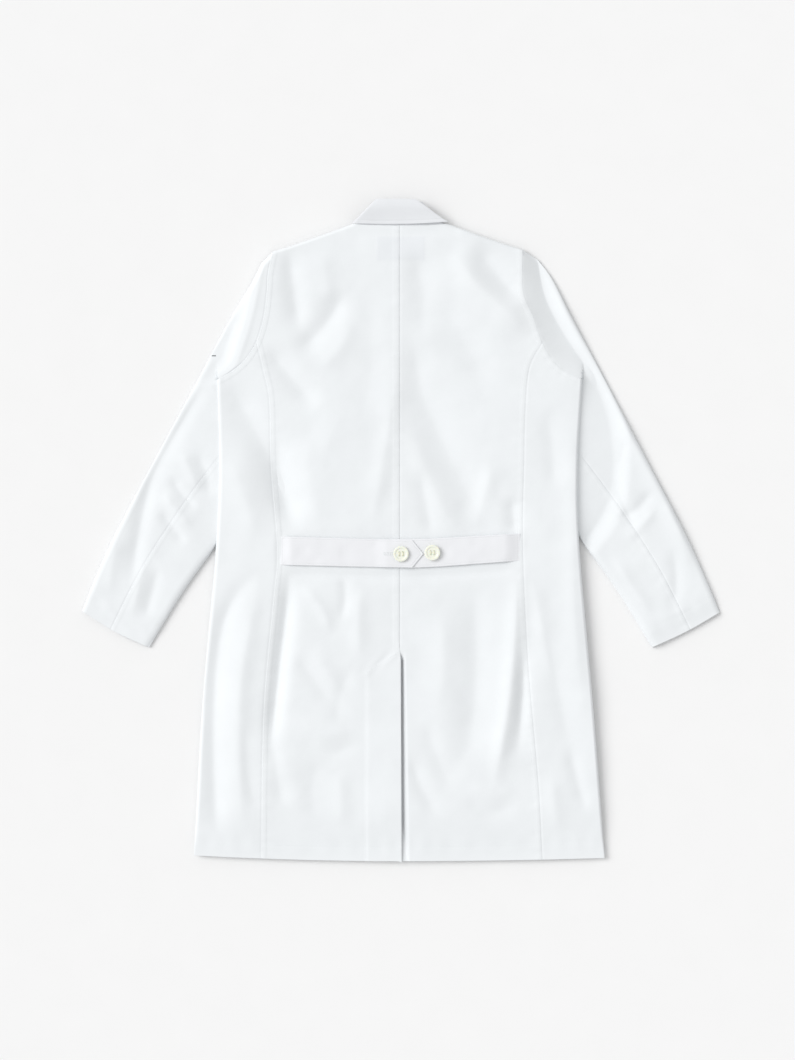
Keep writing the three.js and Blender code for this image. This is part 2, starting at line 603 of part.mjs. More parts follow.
/** A four-hole button with a raised rim, its back at Z = 0 and its centre on the Z axis. */
function buttonSolid() {
  const radius = BUTTON_DIAMETER / 2;
  const profile = [
    point(0, 0),
    point(radius - 1, 0),
    point(radius, 0.3 * BUTTON_THICK),
    point(radius, 0.7 * BUTTON_THICK),
    point(radius - 1, BUTTON_THICK),
    point(radius - 3, BUTTON_THICK),
    point(radius - 4.5, 0.7 * BUTTON_THICK),
    point(0, 0.62 * BUTTON_THICK),
  ];
  const disc = new THREE.LatheGeometry(profile, 28);
  disc.rotateX(Math.PI / 2);
  let button = toSolid(disc);
  for (const hole of threadHoles(0, 0)) {
    button = button.subtract(bar(hole.x, hole.y, -1, BUTTON_THICK + 1, BUTTON_HOLE, 10));
  }
  return button;
}

/** The sewing thread of one button: a shank, four legs through the holes and two bars on top. */
function threadSolid(shank) {
  const topLow = 0.7 * BUTTON_THICK + SEAM_GAP;
  let thread = bar(0, 0, -SEAM_GAP - THREAD / 2 - shank, -SEAM_GAP, SHANK_DIAMETER, 12);
  const foot = bar(0, 0, -SEAM_GAP - THREAD / 2, -SEAM_GAP, 2 * BUTTON_HOLE_PITCH + THREAD, 12);
  thread = thread.add(foot);
  for (const hole of threadHoles(0, 0)) {
    thread = thread.add(bar(hole.x, hole.y, -SEAM_GAP - THREAD / 2, topLow + THREAD / 2, THREAD, 8));
  }
  const reach = BUTTON_HOLE_PITCH * Math.SQRT1_2;
  for (const x of [-reach, reach]) {
    const stitch = rectangle(x - THREAD / 2, -reach, x + THREAD / 2, reach);
    thread = thread.add(raise(stitch, topLow, topLow + THREAD / 2));
  }
  return thread;
}

/** Adds a button and its thread; `face` is +1 on the back of the coat and -1 on its front. */
function addButton(name, x, y, seat, through, face) {
  const shank = through + SHANK_REST - THREAD / 2 - SEAM_GAP;
  const back = seat + face * (SEAM_GAP + through + SHANK_REST);
  const place = (solid) => (face > 0 ? solid : solid.rotate([180, 0, 0])).translate([x, y, back]);
  addPiece(name, place(buttonSolid()), IVORY);
  addPiece(`${name}_thread`, place(threadSolid(shank)), SEWING_THREAD);
}

const throughStrap = BELT_THICK + SEAM_GAP;
addButton('belt_button_1', BELT_BUTTON_X[0], buttonY, STRAP_HIGH, throughStrap, 1);
addButton('belt_button_2', BELT_BUTTON_X[1], buttonY + 1.8, STRAP_HIGH, CLOTH, 1);
const throughFront = STAND_LOW - FRONT_LOW;
frontButtonHeights().forEach((y, i) => {
  addButton(`front_button_${i + 1}`, 0, y, STAND_LOW, throughFront - SEAM_GAP, -1);
});

export default coat;
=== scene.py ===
"""A white cotton lab coat that lies face down on a pale floor, with its back up.

Lengths are in millimetres until a mesh is written, which is in metres. X runs across the coat,
Y from the hem to the collar and Z up from the floor. The left of the coat is at -X.
"""

import logging  # noqa: E402
import math  # noqa: E402
from dataclasses import dataclass, field  # noqa: E402
from enum import Enum  # noqa: E402
from typing import Callable  # noqa: E402

import bmesh  # noqa: E402
import bpy  # noqa: E402
import numpy as np  # noqa: E402
from mathutils import Matrix, Vector  # noqa: E402

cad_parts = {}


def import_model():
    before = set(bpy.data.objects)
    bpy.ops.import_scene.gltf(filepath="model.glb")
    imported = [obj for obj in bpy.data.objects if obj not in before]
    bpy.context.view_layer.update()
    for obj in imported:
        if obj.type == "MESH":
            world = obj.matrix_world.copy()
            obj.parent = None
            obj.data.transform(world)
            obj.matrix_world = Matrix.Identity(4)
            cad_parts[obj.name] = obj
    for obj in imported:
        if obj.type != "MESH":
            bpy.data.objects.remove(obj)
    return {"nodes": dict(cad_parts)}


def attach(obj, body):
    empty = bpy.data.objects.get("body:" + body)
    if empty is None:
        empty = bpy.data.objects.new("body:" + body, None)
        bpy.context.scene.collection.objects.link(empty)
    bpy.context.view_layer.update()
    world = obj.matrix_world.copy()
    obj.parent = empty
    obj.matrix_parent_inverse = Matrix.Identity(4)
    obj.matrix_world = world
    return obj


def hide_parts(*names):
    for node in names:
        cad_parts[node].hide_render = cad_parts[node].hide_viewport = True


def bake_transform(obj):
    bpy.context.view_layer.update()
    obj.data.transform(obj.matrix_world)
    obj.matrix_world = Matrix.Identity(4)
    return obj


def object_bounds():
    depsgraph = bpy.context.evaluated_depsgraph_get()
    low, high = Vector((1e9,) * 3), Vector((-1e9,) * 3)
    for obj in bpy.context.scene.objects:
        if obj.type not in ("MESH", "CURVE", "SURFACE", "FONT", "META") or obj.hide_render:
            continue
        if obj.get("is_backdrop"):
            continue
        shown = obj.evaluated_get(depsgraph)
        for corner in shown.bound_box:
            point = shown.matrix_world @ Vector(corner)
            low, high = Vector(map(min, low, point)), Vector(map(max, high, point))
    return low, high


LOG = logging.getLogger("lab_coat")
MM = 0.001

HEM = -516.0  # lowest line of the coat
ROLL = 515.6  # roll line of the collar
CENTRE = -1.5  # centre back seam
BACK_TOP = 17.2  # outer face of the back where it lies flat
SIDE_EDGE = 8.2  # height of the folded side seams and shoulders
FRONT_FACE = 5.6  # inner face of the fronts
WAIST = -36.0  # middle of the half belt
BELT_END = 186.5  # how far from the middle the half belt is sewn down

Points = np.ndarray
Relief = Callable[[Points], np.ndarray]


class Side(Enum):
    """The wearer's side, as the sign of X."""

    LEFT = -1
    RIGHT = 1

    @property
    def word(self) -> str:
        """The side as it is written in a piece's name."""
        return self.name.lower()


def ease(share: np.ndarray) -> np.ndarray:
    """A smooth step from 0 to 1 as share goes from 0 to 1."""
    t = np.clip(share, 0.0, 1.0)
    return t * t * (3.0 - 2.0 * t)


def rounded(distance: np.ndarray, radius: float) -> np.ndarray:
    """A quarter of an ellipse: 0 at distance 0 and 1 from the radius on."""
    t = np.clip(distance / radius, 0.0, 1.0)
    return np.sqrt(1.0 - (1.0 - t) ** 2)


@dataclass(frozen=True)
class Path:
    """A line across the cloth, as a chain of points."""

    points: Points

    @staticmethod
    def line(*points: tuple[float, float]) -> "Path":
        """Straight runs between the points."""
        return Path(np.array(points, float))

    @staticmethod
    def through(*points: tuple[float, float], steps: int = 10) -> "Path":
        """A Catmull-Rom curve through the points.

        Args:
            points: the points that it passes.
            steps: straight runs between two of them.

        Returns:
            The curve as a path.
        """
        p = np.array(points, float)
        p = np.vstack([2 * p[0] - p[1], p, 2 * p[-1] - p[-2]])
        t = np.linspace(0, 1, steps, endpoint=False)[:, None]
        runs = []
        for a, b, c, d in zip(p, p[1:], p[2:], p[3:]):
            runs.append(
                0.5
                * (2 * b + (c - a) * t + (2 * a - 5 * b + 4 * c - d) * t**2 + (3 * b - a - 3 * c + d) * t**3)
            )
        return Path(np.vstack([*runs, p[-2][None]]))

    def joined(self, *others: "Path") -> "Path":
        """This path and then the others, which start where the one before ends."""
        return Path(np.vstack([self.points, *[o.points[1:] for o in others]]))

    def flipped(self) -> "Path":
        """The same line, run the other way."""
        return Path(self.points[::-1])

    def mirrored(self) -> "Path":
        """The same line on the other side of the coat."""
        return Path(self.points * (-1, 1))

    def runs(self) -> np.ndarray:
        """How far along the path each point lies."""
        steps = np.hypot(*np.diff(self.points, axis=0).T)
        return np.concatenate([[0.0], np.cumsum(steps)])

    def length(self) -> float:
        """The length of the path."""
        return float(self.runs()[-1])

    def at(self, shares: np.ndarray) -> Points:
        """The points at these shares of the length."""
        runs = self.runs()
        place = np.asarray(shares, float) * runs[-1]
        return np.stack([np.interp(place, runs, self.points[:, k]) for k in (0, 1)], -1)

    def part(self, start: float, end: float) -> "Path":
        """The stretch between two shares of the length."""
        runs = self.runs() / self.length()
        inner = runs[(runs > start + 1e-6) & (runs < end - 1e-6)]
        return Path(self.at(np.concatenate([[start], inner, [end]])))

    def beside(self, gap: float) -> "Path":
        """The same line moved to its own left by the gap."""
        ahead = np.gradient(self.points, axis=0)
        ahead /= np.maximum(np.hypot(ahead[:, 0], ahead[:, 1]), 1e-9)[:, None]
        return Path(self.points + gap * np.stack([-ahead[:, 1], ahead[:, 0]], -1))

    def nearest(self, places: Points) -> tuple[np.ndarray, np.ndarray]:
        """Measures places against the path.

        Args:
            places: points on the cloth.

        Returns:
            The distance to the path, above 0 on its left, and how far along it lies, in mm.
        """
        best, side, run = (np.full(len(places), v) for v in (np.inf, 1.0, 0.0))
        for a, b, start in zip(self.points, self.points[1:], self.runs()):
            d = b - a
            size = float(np.hypot(*d))
            if size < 1e-6:
                continue
            t = np.clip((places - a) @ d / size**2, 0.0, 1.0)
            off = places - a - t[:, None] * d
            distance = np.hypot(off[:, 0], off[:, 1])
            closer = distance < best
            best = np.where(closer, distance, best)
            side = np.where(closer, np.where(d[0] * off[:, 1] - d[1] * off[:, 0] < 0, -1.0, 1.0), side)
            run = np.where(closer, start + t * size, run)
        return best * side, run


@dataclass(frozen=True)
class Fold:
    """A soft valley or ridge that runs along a path and fades out at its ends."""

    line: Path
    height: float
    width: float
    lean: float = 0.0
    fade: float = 0.3

    def lift(self, places: Points) -> np.ndarray:
        """How far the fold lifts the cloth."""
        out = np.zeros(len(places))
        reach = 3.2 * self.width * (1 + abs(self.lean))
        low, high = self.line.points.min(0) - reach, self.line.points.max(0) + reach
        near = np.all((places > low) & (places < high), axis=1)
        if near.any():
            distance, run = self.line.nearest(places[near])
            share = run / self.line.length()
            width = self.width * (1 + self.lean * np.sign(distance))
            profile = np.exp(-np.abs(distance / width) ** 1.7)
            ends = ease(share / self.fade) * ease((1 - share) / self.fade)
            out[near] = self.height * profile * ends
        return out


@dataclass(frozen=True)
class Crumple:
    """Small random unevenness of cloth that has been worn and pressed."""

    seed: int
    cell: float
    height: float

    def lift(self, places: Points) -> np.ndarray:
        """How far the unevenness lifts the cloth."""
        count = 64
        heights = np.random.default_rng(self.seed).uniform(-1, 1, (count, count))
        spot = places / self.cell + 300.0
        low = np.floor(spot).astype(int)
        t = spot - low
        t = t**3 * (t * (6 * t - 15) + 10)
        i, j = low[:, 0], low[:, 1]
        corner = lambda a, b: heights[(i + a) % count, (j + b) % count]  # noqa: E731
        bottom = corner(0, 0) * (1 - t[:, 0]) + corner(1, 0) * t[:, 0]
        top = corner(0, 1) * (1 - t[:, 0]) + corner(1, 1) * t[:, 0]
        return self.height * (bottom * (1 - t[:, 1]) + top * t[:, 1])


@dataclass(frozen=True)
class Seam:
    """A felled seam: a raised strip of doubled cloth on one side, sewn down in rows that pucker it."""

    line: Path
    inside: float  # 1 when the strip lies on the left of the line, -1 on its right
    width: float = 9.0
    height: float = 0.4
    rows: tuple[float, ...] = (1.8, 7.6)
    pucker: float = 0.14
    ditch: float = 0.35

    def lift(self, places: Points) -> np.ndarray:
        """How far the seam lifts the cloth."""
        out = np.zeros(len(places))
        low, high = self.line.points.min(0) - 30, self.line.points.max(0) + 30
        near = np.all((places > low) & (places < high), axis=1)
        if near.any():
            distance, run = self.line.nearest(places[near])
            d = distance * self.inside
            strip = ease((d + 0.2) / 0.9) * ease((self.width - d) / 1.5)
            lift = self.height * strip - self.ditch * np.exp(-(((d + 0.7) / 1.1) ** 2))
            for row in self.rows:
                lift -= 0.2 * np.exp(-(((d - row) / 0.8) ** 2))
            wave = np.sin(run / 2.6 + 2 * np.sin(run / 31)) + 0.8 * np.sin(run / 4.3 + 1)
            lift += self.pucker * wave * np.exp(-(((d - self.width / 2) / 9) ** 2))
            out[near] = lift
        return out

    def stitch_rows(self, start: float = 0.0, end: float = 1.0) -> list[Path]:
        """The rows of stitches, along a share of the seam."""
        part = self.line.part(start, end)
        return [part.beside(row * self.inside) for row in self.rows]


@dataclass(frozen=True)
class Patch:
    """A piece of cloth between four edges. Left and right run up, bottom and top run from left to right."""

    left: Path
    right: Path
    bottom: Path
    top: Path

    def at(self, u: np.ndarray, v: np.ndarray) -> Points:
        """The places at shares u across and v up the piece."""
        u2, v2 = u[:, None], v[:, None]
        low, high = self.bottom.at(u), self.top.at(u)
        near, far = self.left.at(v), self.right.at(v)
        a, b = self.bottom.points[0], self.bottom.points[-1]
        c, d = self.top.points[0], self.top.points[-1]
        flat = (1 - v2) * ((1 - u2) * a + u2 * b) + v2 * ((1 - u2) * c + u2 * d)
        return (1 - v2) * low + v2 * high + (1 - u2) * near + u2 * far - flat

    def outline(self) -> Points:
        """The edge of the piece, once round."""
        there = [self.bottom.points, self.right.points]
        return np.vstack(there + [self.top.points[::-1], self.left.points[::-1]])

    def area(self) -> float:
        """The flat area of the piece in square millimetres."""
        x, y = self.outline().T
        return abs(float(np.dot(x, np.roll(y, 1)) - np.dot(y, np.roll(x, 1)))) / 2


def ticks(
    length: float, coarse: float, fine: float = 1.15, low: float = 0.0, high: float = 0.0
) -> np.ndarray:
    """Grid lines along a length, closer together near its ends.

    Args:
        length: the length they share out.
        coarse: the usual spacing.
        fine: the spacing near an end.
        low: how much of the start is fine.
        high: how much of the end is fine.

    Returns:
        The shares of the length, from 0 to 1.
    """
    places = np.linspace(0, length, 400)
    spacing = np.full(400, coarse)
    for distance, zone in ((places, low), (length - places, high)):
        if zone:
            share = ease((distance - zone) / (2 * coarse + zone))
            spacing = np.minimum(spacing, fine + (coarse - fine) * share)
    count = np.concatenate([[0.0], np.cumsum(np.diff(places) / ((spacing[1:] + spacing[:-1]) / 2))])
    whole = max(2, int(round(count[-1])))
    return np.interp(np.linspace(0, count[-1], whole + 1), count, places) / length


# ------------------------------------------------------------------------------- finishes


def linear(hex_colour: str) -> tuple[float, float, float, float]:
    """A colour written as sRGB hex, such as F4F6F7, in linear light."""
    parts = [int(hex_colour[k : k + 2], 16) / 255 for k in (0, 2, 4)]
    return (*[c / 12.92 if c <= 0.04045 else ((c + 0.055) / 1.055) ** 2.4 for c in parts], 1.0)


def add_node(
    material: bpy.types.Material, kind: str, settings: dict | None = None, **links
) -> bpy.types.Node:
    """Adds a shader node.

    Args:
        material: the material that it goes into.
        kind: the node's type, without the ShaderNode in front.
        settings: attributes of the node.
        links: for each input, by its name with _ for a space, a socket to link or a value to set.

    Returns:
        The new node.
    """
    node = material.node_tree.nodes.new("ShaderNode" + kind)
    for name, value in (settings or {}).items():
        setattr(node, name, value)
    for name, value in links.items():
        key = int(name[1:]) if name[0] == "n" and name[1:].isdigit() else name.replace("_", " ")
        if isinstance(value, bpy.types.NodeSocket):
            material.node_tree.links.new(value, node.inputs[key])
        else:
            node.inputs[key].default_value = value
    return node


def new_material(name: str) -> tuple[bpy.types.Material, bpy.types.Node]:
    """A new material and its surface shader, with nothing else in it."""
    material = bpy.data.materials.new(name)
    material.use_nodes = True
    material.node_tree.nodes.clear()
    shader = add_node(material, "BsdfPrincipled")
    add_node(material, "OutputMaterial", Surface=shader.outputs["BSDF"])
    return material, shader


@dataclass(frozen=True)
class TwillFinish:
    """Cotton and polyester twill, bleached white: matt, faintly blue, with fine diagonal ribs."""

    name: str
    colour: str
    backed: str  # where a label or tape lies behind the cloth
    rib: float = 1.1  # real ribs are 0.5 mm apart; drawn coarser, or they would not show
    yarn: float = 0.45
    roughness: float = 0.92
    sheen: float = 0.12

    def material(self) -> bpy.types.Material:
        """Builds the finish on the grain that each sheet carries as an attribute."""
        found = bpy.data.materials.get(self.name)
        if found:
            return found
        material, shader = new_material(self.name)
        grain = add_node(material, "Attribute", {"attribute_name": "grain"}).outputs["Vector"]
        backing = add_node(material, "Attribute", {"attribute_name": "backing"}).outputs["Fac"]
        slant = add_node(material, "Mapping", Vector=grain, Rotation=(0, 0, math.radians(63)))
        ribs = add_node(
            material, "TexWave", {"bands_direction": "X"}, Vector=slant.outputs["Vector"],
            Scale=0.314 / (self.rib * MM), Distortion=1.2, Detail=1.0, Detail_Scale=2.0,
        )  # fmt: skip
        yarn = add_node(material, "TexNoise", Vector=grain, Scale=1 / (self.yarn * MM), Detail=2.0)
        cloud = add_node(material, "TexNoise", Vector=grain, Scale=1 / (38 * MM), Detail=2.0)
        tone = add_node(
            material, "Mix", {"data_type": "RGBA"}, n0=backing,
            n6=linear(self.colour), n7=linear(self.backed),
        )
        fade = add_node(material, "MapRange", Value=cloud.outputs["Fac"], From_Min=0.35, From_Max=0.65)
        fade.inputs["To Min"].default_value, fade.inputs["To Max"].default_value = 0.985, 1.0
        tint = add_node(material, "VectorMath", {"operation": "SCALE"}, Vector=tone.outputs[2])
        material.node_tree.links.new(fade.outputs["Result"], tint.inputs["Scale"])
        weave = add_node(
            material, "Math", {"operation": "MULTIPLY_ADD"},
            n0=yarn.outputs["Fac"], n1=0.8, n2=ribs.outputs["Fac"],
        )
        bump = add_node(material, "Bump", Height=weave.outputs[0], Distance=0.045 * MM, Strength=0.5)
        material.node_tree.links.new(tint.outputs["Vector"], shader.inputs["Base Color"])
        material.node_tree.links.new(bump.outputs["Normal"], shader.inputs["Normal"])
        shader.inputs["Roughness"].default_value = self.roughness
        shader.inputs["Specular IOR Level"].default_value = 0.3
        shader.inputs["Sheen Weight"].default_value = self.sheen
        shader.inputs["Sheen Roughness"].default_value = 0.5
        return material


@dataclass(frozen=True)
class PlainFinish:
    """A finish of one colour with a fine mottle: resin, thread, tape and the floor."""

    name: str
    colour: str
    shade: str
    roughness: float
    mottle: float  # size of the mottle in mm
    coat: float = 0.0
    glow: float = 0.0  # light that passes under the surface

    def material(self) -> bpy.types.Material:
        """Builds the finish on Object coordinates."""
        found = bpy.data.materials.get(self.name)
        if found:
            return found
        material, shader = new_material(self.name)
        place = add_node(material, "TexCoord").outputs["Object"]
        noise = add_node(material, "TexNoise", Vector=place, Scale=1 / (self.mottle * MM), Detail=3.0)
        fade = add_node(material, "MapRange", Value=noise.outputs["Fac"], From_Min=0.3, From_Max=0.7)
        tone = add_node(
            material, "Mix", {"data_type": "RGBA"},
            n0=fade.outputs["Result"], n6=linear(self.colour), n7=linear(self.shade),
        )  # fmt: skip
        material.node_tree.links.new(tone.outputs[2], shader.inputs["Base Color"])
        shader.inputs["Roughness"].default_value = self.roughness
        shader.inputs["Coat Weight"].default_value = self.coat
        shader.inputs["Coat Roughness"].default_value = 0.12
        if self.glow:
            shader.inputs["Subsurface Weight"].default_value = self.glow
            shader.inputs["Subsurface Radius"].default_value = (0.004, 0.003, 0.002)
            shader.inputs["Subsurface Scale"].default_value = 0.3
        return material


# White twill: bright and matt, a little bluer than the floor.
COTTON = TwillFinish("cotton_twill_bleached", "ECEFF1", "E9ECEF")
# The belt straps: the same white twill, painted a shade darker as painted shade on the belt.
STRAP_COTTON_SHADED = TwillFinish("cotton_twill_strap", "ECEDF0", "E9EAEE")
# The collar's twill over interfacing: the same white and stiffer, painted a shade greyer as painted shade.
COLLAR = TwillFinish("cotton_twill_interfaced", "E5E7EA", "E1E3E7", yarn=0.6)
# Satin tape of the label and the hanging loop: smoother and greyer than the cloth.
TAPE = PlainFinish("satin_tape_woven", "DDE0E4", "E6E8EB", 0.6, 0.8)
# Spun polyester thread: off-white with a soft gloss.
THREAD = PlainFinish("polyester_thread_spun", "F0F3F2", "E6EAEC", 0.55, 0.5)
# Thread on the buttons: ivory, and darker in the holes.
BUTTON_THREAD = PlainFinish("polyester_thread_ivory", "EEEED6", "E2E1C4", 0.55, 0.5)
# Embroidery thread of the bar tack: charcoal with a faint gloss.
DARK_THREAD = PlainFinish("rayon_thread_charcoal", "22252B", "2E3238", 0.4, 0.4)
# Polyester resin: creamy ivory, polished, with light passing just below the surface.
RESIN = PlainFinish("polyester_resin_ivory", "F5F7EA", "EEF0E2", 0.28, 3.0, coat=0.4, glow=0.12)
# The floor: painted board, matt and nearly white.
FLOOR = PlainFinish("painted_board_matt", "F3F3F3", "F2F2F2", 0.95, 60.0)


# ------------------------------------------------------------------------------- sheets


@dataclass(frozen=True)
class Ride:
    """The body that a piece moves with, or two bodies and two points between them."""

    body: str
    second: str | None = None
    start: tuple[float, float] = (0.0, 0.0)
    end: tuple[float, float] = (0.0, 0.0)

    def hold(self, piece: bpy.types.Object) -> None:
        """Ties the piece to its one body; with two bodies it only bakes in the piece's transform."""
        if self.second is None:
            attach(piece, self.body)
        else:
            near, far = ((p[0] * MM, p[1] * MM, SIDE_EDGE * MM) for p in (self.start, self.end))
            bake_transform(piece)
            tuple(near)
            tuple(far)


BODY = Ride("coat_body")


def new_object(name: str, bm: bmesh.types.BMesh, material: bpy.types.Material) -> bpy.types.Object:
    """Turns a bmesh into an object of the scene and frees the bmesh."""
    mesh = bpy.data.meshes.new(name)
    bm.to_mesh(mesh)
    bm.free()
    mesh.materials.append(material)
    mesh.shade_smooth()
    piece = bpy.data.objects.new(name, mesh)
    bpy.context.scene.collection.objects.link(piece)
    return piece


@dataclass
class Sheet:
    """A cut piece of cloth: a woven grid that is laid on a patch and given its height and thickness."""

    name: str
    replaces: tuple[str, ...]
    place: Callable[[np.ndarray, np.ndarray], Points]  # shares across and up, to x, y, z
    across: np.ndarray
    along: np.ndarray
    flat: tuple[float, float]  # width and length that it was cut to
    area: float
    slot: str = "cotton_cloth"
    finish: TwillFinish | PlainFinish = COTTON
    ride: Ride = BODY
    underside: bool = False
    thickness: float = 0.5
    turned: Callable[[Points], np.ndarray] | None = None  # 1 where the cloth is turned under twice
    backed: Callable[[Points], np.ndarray] | None = None  # 1 where a label lies behind
    grain: float = 0.0  # degrees that the warp is turned from Y
    rests_on: tuple[str, ...] = ()

    def weave(self) -> bpy.types.Object:
        """Builds the sheet.

        Returns:
            The finished piece, tied to its body when it rides on only one.
        """
        wide, tall = len(self.across) - 1, len(self.along) - 1
        bm = bmesh.new()
        bmesh.ops.create_grid(bm, x_segments=wide, y_segments=tall, size=1.0)
        if self.underside:
            bmesh.ops.reverse_faces(bm, faces=bm.faces)
        piece = new_object(self.name, bm, self.finish.material())
        mesh = piece.data
        co = np.empty(len(mesh.vertices) * 3)
        mesh.vertices.foreach_get("co", co)
        spot = np.rint((co.reshape(-1, 3)[:, :2] + 1) / 2 * (wide, tall)).astype(int)
        places = self.place(self.across[spot[:, 0]], self.along[spot[:, 1]])
        mesh.vertices.foreach_set("co", (places * MM).ravel())
        turn = math.radians(self.grain)
        x = places[:, 0] * math.cos(turn) - places[:, 1] * math.sin(turn)
        y = places[:, 0] * math.sin(turn) + places[:, 1] * math.cos(turn)
        grain = mesh.attributes.new("grain", "FLOAT_VECTOR", "POINT")
        grain.data.foreach_set("vector", (np.stack([x, y, 0 * x], -1) * MM).ravel())
        weight = np.clip(self.turned(places[:, :2]), 0, 1) if self.turned else np.zeros(len(places))
        backing = mesh.attributes.new("backing", "FLOAT", "POINT")
        behind = self.backed(places[:, :2]) if self.backed else np.zeros(len(places))
        backing.data.foreach_set("value", behind)
        group = piece.vertex_groups.new(name="turned")
        group.add(np.flatnonzero(weight > 0.5).tolist(), 1.0, "REPLACE")
        solid = piece.modifiers.new("cloth_thickness", "SOLIDIFY")
        solid.thickness, solid.offset = 2 * self.thickness * MM, -1.0
        solid.vertex_group, solid.thickness_vertex_group = "turned", 0.5
        edge = piece.modifiers.new("cut_edge", "BEVEL")
        edge.width, edge.segments, edge.limit_method = 0.18 * MM, 1, "ANGLE"
        edge.angle_limit, edge.harden_normals = math.radians(50), True
        mesh.update()
        self.ride.hold(piece)
        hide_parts(*self.replaces)
        width, length = self.flat
        list(self.rests_on)
        min(self.area, 0.999 * width * length) * MM * MM  # fmt: skip
        LOG.info("%s: %d faces, cut from %.0f by %.0f mm", self.name, len(mesh.polygons), width, length)
        return piece


def over(patch: Patch, height: Relief) -> Callable[[np.ndarray, np.ndarray], Points]:
    """Lays a patch on a height field."""

    def place(u: np.ndarray, v: np.ndarray) -> Points:
        places = patch.at(u, v)
        return np.column_stack([places, height(places)])

    return place


def cut_size(*patches: Patch) -> tuple[tuple[float, float], float]:
    """The width and length that hold the patches side by side, and their area."""
    sizes = [np.ptp(p.outline(), axis=0) for p in patches]
    width, length = sum(s[0] for s in sizes), max(s[1] for s in sizes)
    area = sum(p.area() for p in patches)
    return (width, length), max(area, 0.31 * width * length)


@dataclass
class Stitching:
    """Rows of lockstitch, each stitch a small rounded bar of thread that lies on the cloth."""

    name: str
    ride: Ride
    height: Relief
    finish: PlainFinish = THREAD
    length: float = 2.5
    pitch: float = 3.3
    width: float = 0.42
    rows: list[Path] = field(default_factory=list)

    def sew(self) -> bpy.types.Object | None:
        """Builds every stitch of the rows as one piece."""
        bm = bmesh.new()
        for row in self.rows:
            count = int(row.length() // self.pitch)
            if count < 1:
                continue
            shares = (np.arange(count) + 0.5) / count
            spots = row.at(shares)
            ahead = row.at(np.minimum(shares + 0.5 / row.length(), 1)) - row.at(
                np.maximum(shares - 0.5 / row.length(), 0)
            )
            ahead /= np.maximum(np.hypot(*ahead.T), 1e-9)[:, None]
            ends = [self.height(spots + s * ahead * self.length / 2) for s in (-1, 1)]
            for spot, way, z0, z1 in zip(spots, ahead, *ends):
                x_axis = Vector((*way * self.length, z1 - z0)).normalized()
                side = Vector((0, 0, 1)).cross(x_axis).normalized()
                turn = Matrix((x_axis, side, x_axis.cross(side))).transposed().to_4x4()
                size = Matrix.Diagonal((self.length / 2, self.width / 2, self.width / 2.4, 1))
                move = Matrix.Translation((*spot, (z0 + z1) / 2 + 0.06))
                bmesh.ops.create_icosphere(bm, subdivisions=1, radius=1.0, matrix=move @ turn @ size)
        if not bm.verts:
            bm.free()
            return None
        bmesh.ops.scale(bm, vec=(MM, MM, MM), verts=bm.verts)
        piece = new_object(self.name, bm, self.finish.material())
        self.ride.hold(piece)
        LOG.info("%s: %d faces", self.name, len(piece.data.polygons))
        return piece


# ------------------------------------------------------------------------------- the coat's lines


def fold(
    height: float, width: float, *points: tuple[float, float], lean: float = 0.0, fade: float = 0.3
) -> Fold:
    """A fold through the points."""
    return Fold(Path.through(*points, steps=5), height, width, lean, fade)


